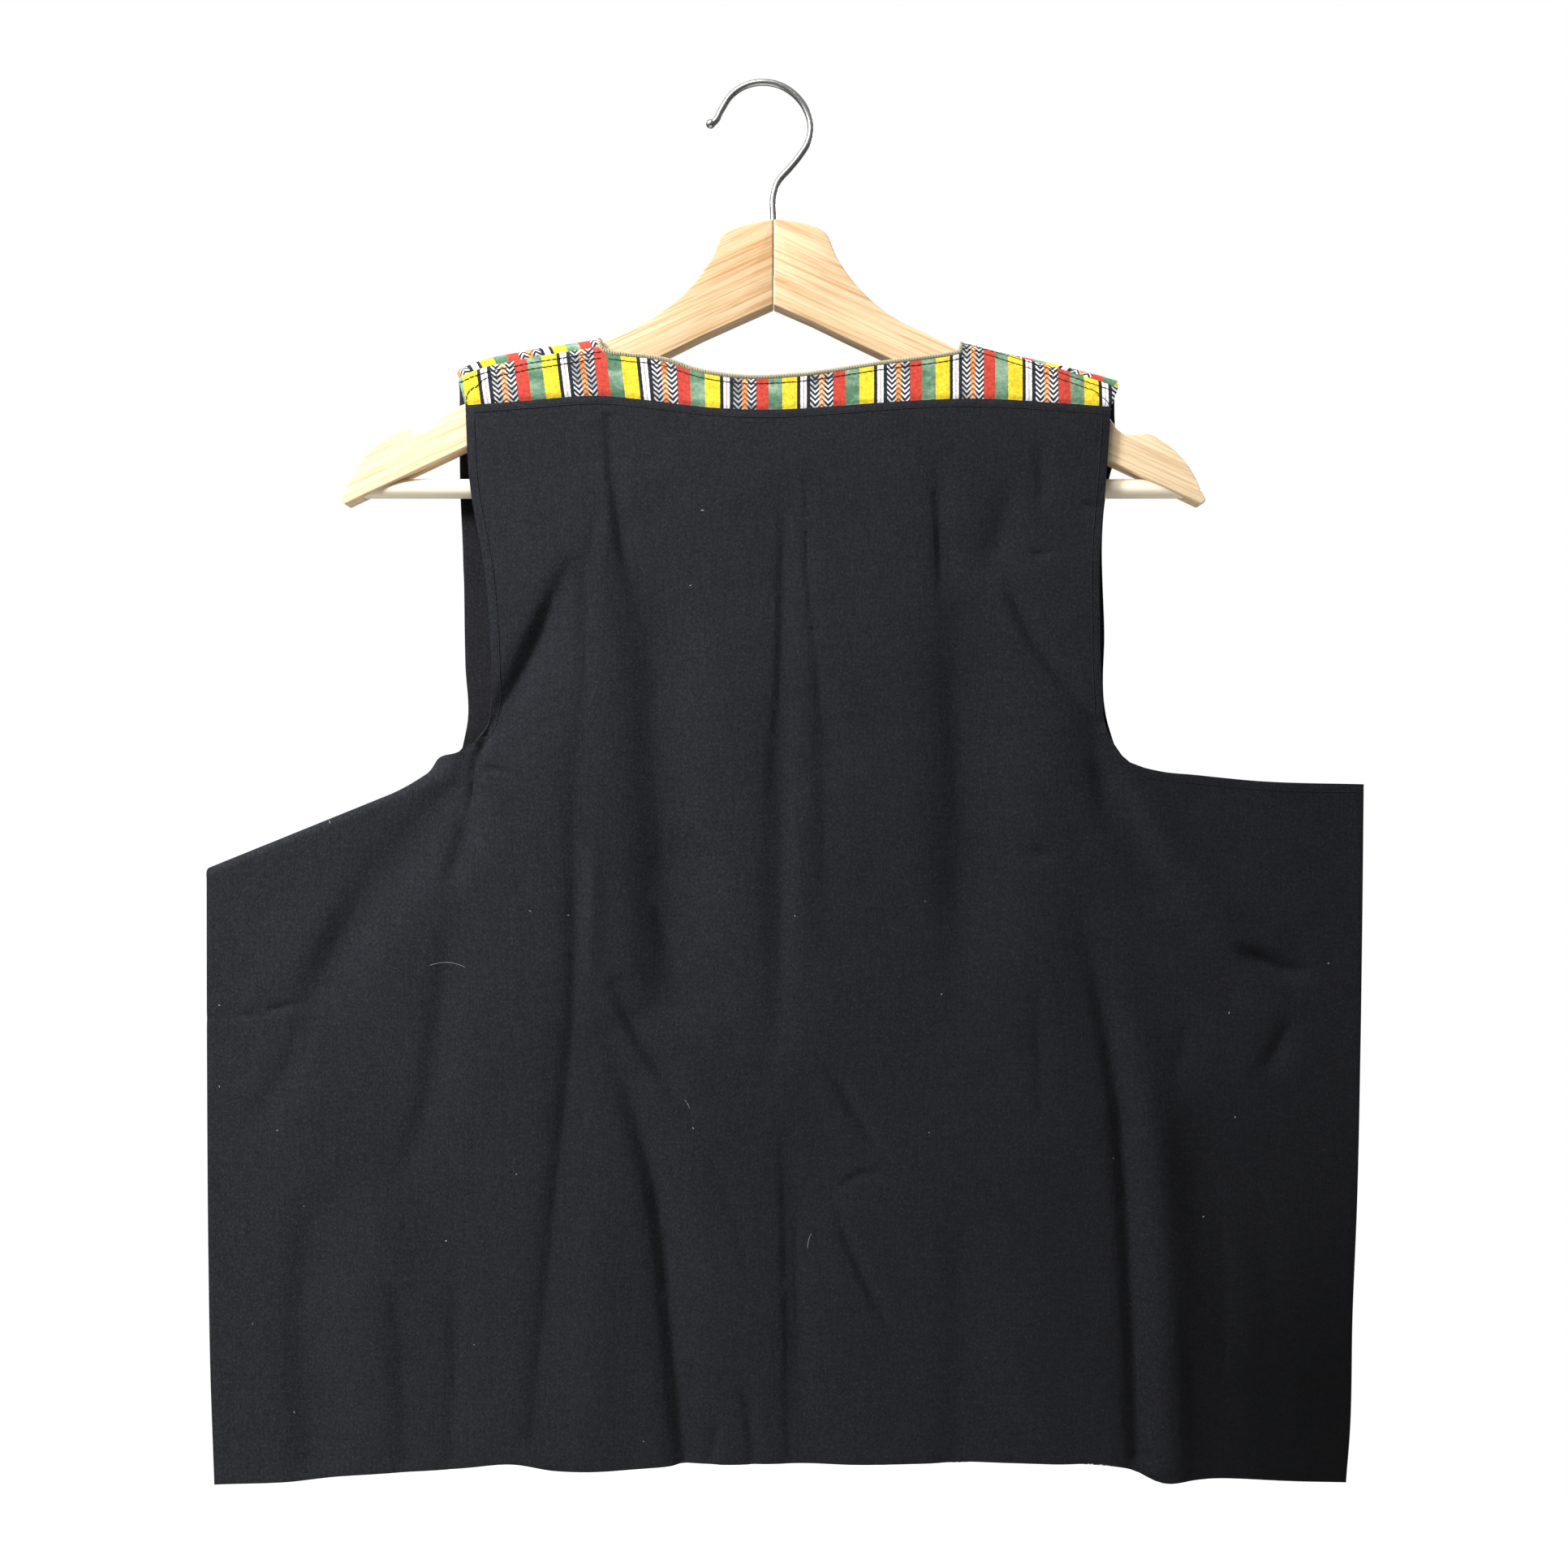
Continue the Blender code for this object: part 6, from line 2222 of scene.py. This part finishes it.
class VEST_OT_stage(Operator):
    """Set up the floor, the soft light and the camera"""

    bl_idname = "vest.stage"
    bl_label = "Stage"

    def execute(self, context):
        stage = settings()[2]
        scene = context.scene
        scene.view_settings.view_transform = "Standard"
        scene.view_settings.look = "None"
        floor = bpy.data.meshes.new("floor")
        turns = [2 * math.pi * i / FLOOR_SIDES for i in range(FLOOR_SIDES)]
        rim = [(FLOOR_REACH * math.cos(t), FLOOR_REACH * math.sin(t), 0.0) for t in turns]
        floor.from_pydata(rim, [], [tuple(range(FLOOR_SIDES))])
        floor.materials.append(floor_paint("pale floor", stage.floor))
        ground = linked("floor", floor)
        ground.location = (0.0, 0.0, FLOOR_Z)

        world = bpy.data.worlds.new("white studio")
        world.use_nodes = True
        shop = Shop(world.node_tree)
        way = shop.add("ShaderNodeTexCoord")
        height = shop.add("ShaderNodeSeparateXYZ", {}, {0: way}, output=2)
        light = shop.level(height, *SKY_HEIGHTS, *SKY_SHARES) * stage.sky
        seen = shop.add("ShaderNodeLightPath")
        strength = seen + (1.0 - seen) * light
        background = world.node_tree.nodes["Background"]
        background.inputs["Color"].default_value = (1, 1, 1, 1)
        world.node_tree.links.new(strength.out, background.inputs["Strength"])
        scene.world = world
        for name, size, power, colour, place_at, target in LIGHTS[1:]:
            lamp = bpy.data.lights.new(name, "AREA")
            lamp.shape = "DISK"
            lamp.size = size
            lamp.energy = power * stage.key
            lamp.color = colour
            obj = linked(name, lamp)
            obj.location = place_at
            aim = Vector(target) - Vector(place_at)
            obj.rotation_euler = aim.to_track_quat("-Z", "Y").to_euler()

        lens = bpy.data.cameras.new("camera")
        lens.sensor_width = SENSOR
        lens.lens = SENSOR * stage.distance / stage.frame_width
        lens.dof.use_dof = False
        camera = linked("camera", lens)
        camera.location = (CAMERA_X, -stage.distance, CAMERA_Z)
        camera.rotation_euler = (math.pi / 2, 0.0, 0.0)
        scene.camera = camera
        return {"FINISHED"}


OPERATORS = (
    VEST_OT_stage,
    VEST_OT_hanger,
    VEST_OT_back,
    VEST_OT_striped,
    VEST_OT_sewing,
    VEST_OT_lint,
)


class VEST_PT_panel(Panel):
    """Lists the pieces of the vest and its settings"""

    bl_idname = "VEST_PT_panel"
    bl_label = "Folk vest"
    bl_space_type = "VIEW_3D"
    bl_region_type = "UI"
    bl_category = "Vest"

    def draw(self, context):
        layout = self.layout
        for group in (context.scene.vest_cloth, context.scene.vest_hanger, context.scene.vest_stage):
            box = layout.box()
            for name in group.__annotations__:
                box.prop(group, name)
        for operator in OPERATORS:
            layout.operator(operator.bl_idname)


CLASSES = (VestCloth, VestHanger, VestStage, *OPERATORS, VEST_PT_panel)


def register():
    for each in CLASSES:
        bpy.utils.register_class(each)
    bpy.types.Scene.vest_cloth = PointerProperty(type=VestCloth)
    bpy.types.Scene.vest_hanger = PointerProperty(type=VestHanger)
    bpy.types.Scene.vest_stage = PointerProperty(type=VestStage)


def unregister():
    del bpy.types.Scene.vest_stage
    del bpy.types.Scene.vest_hanger
    del bpy.types.Scene.vest_cloth
    for each in reversed(CLASSES):
        bpy.utils.unregister_class(each)


def main():
    register()
    bpy.ops.vest.stage()
    bpy.ops.vest.hanger()
    bpy.ops.vest.back()
    bpy.ops.vest.striped()
    bpy.ops.vest.sewing()
    bpy.ops.vest.lint()


if __name__ == "__main__":
    main()
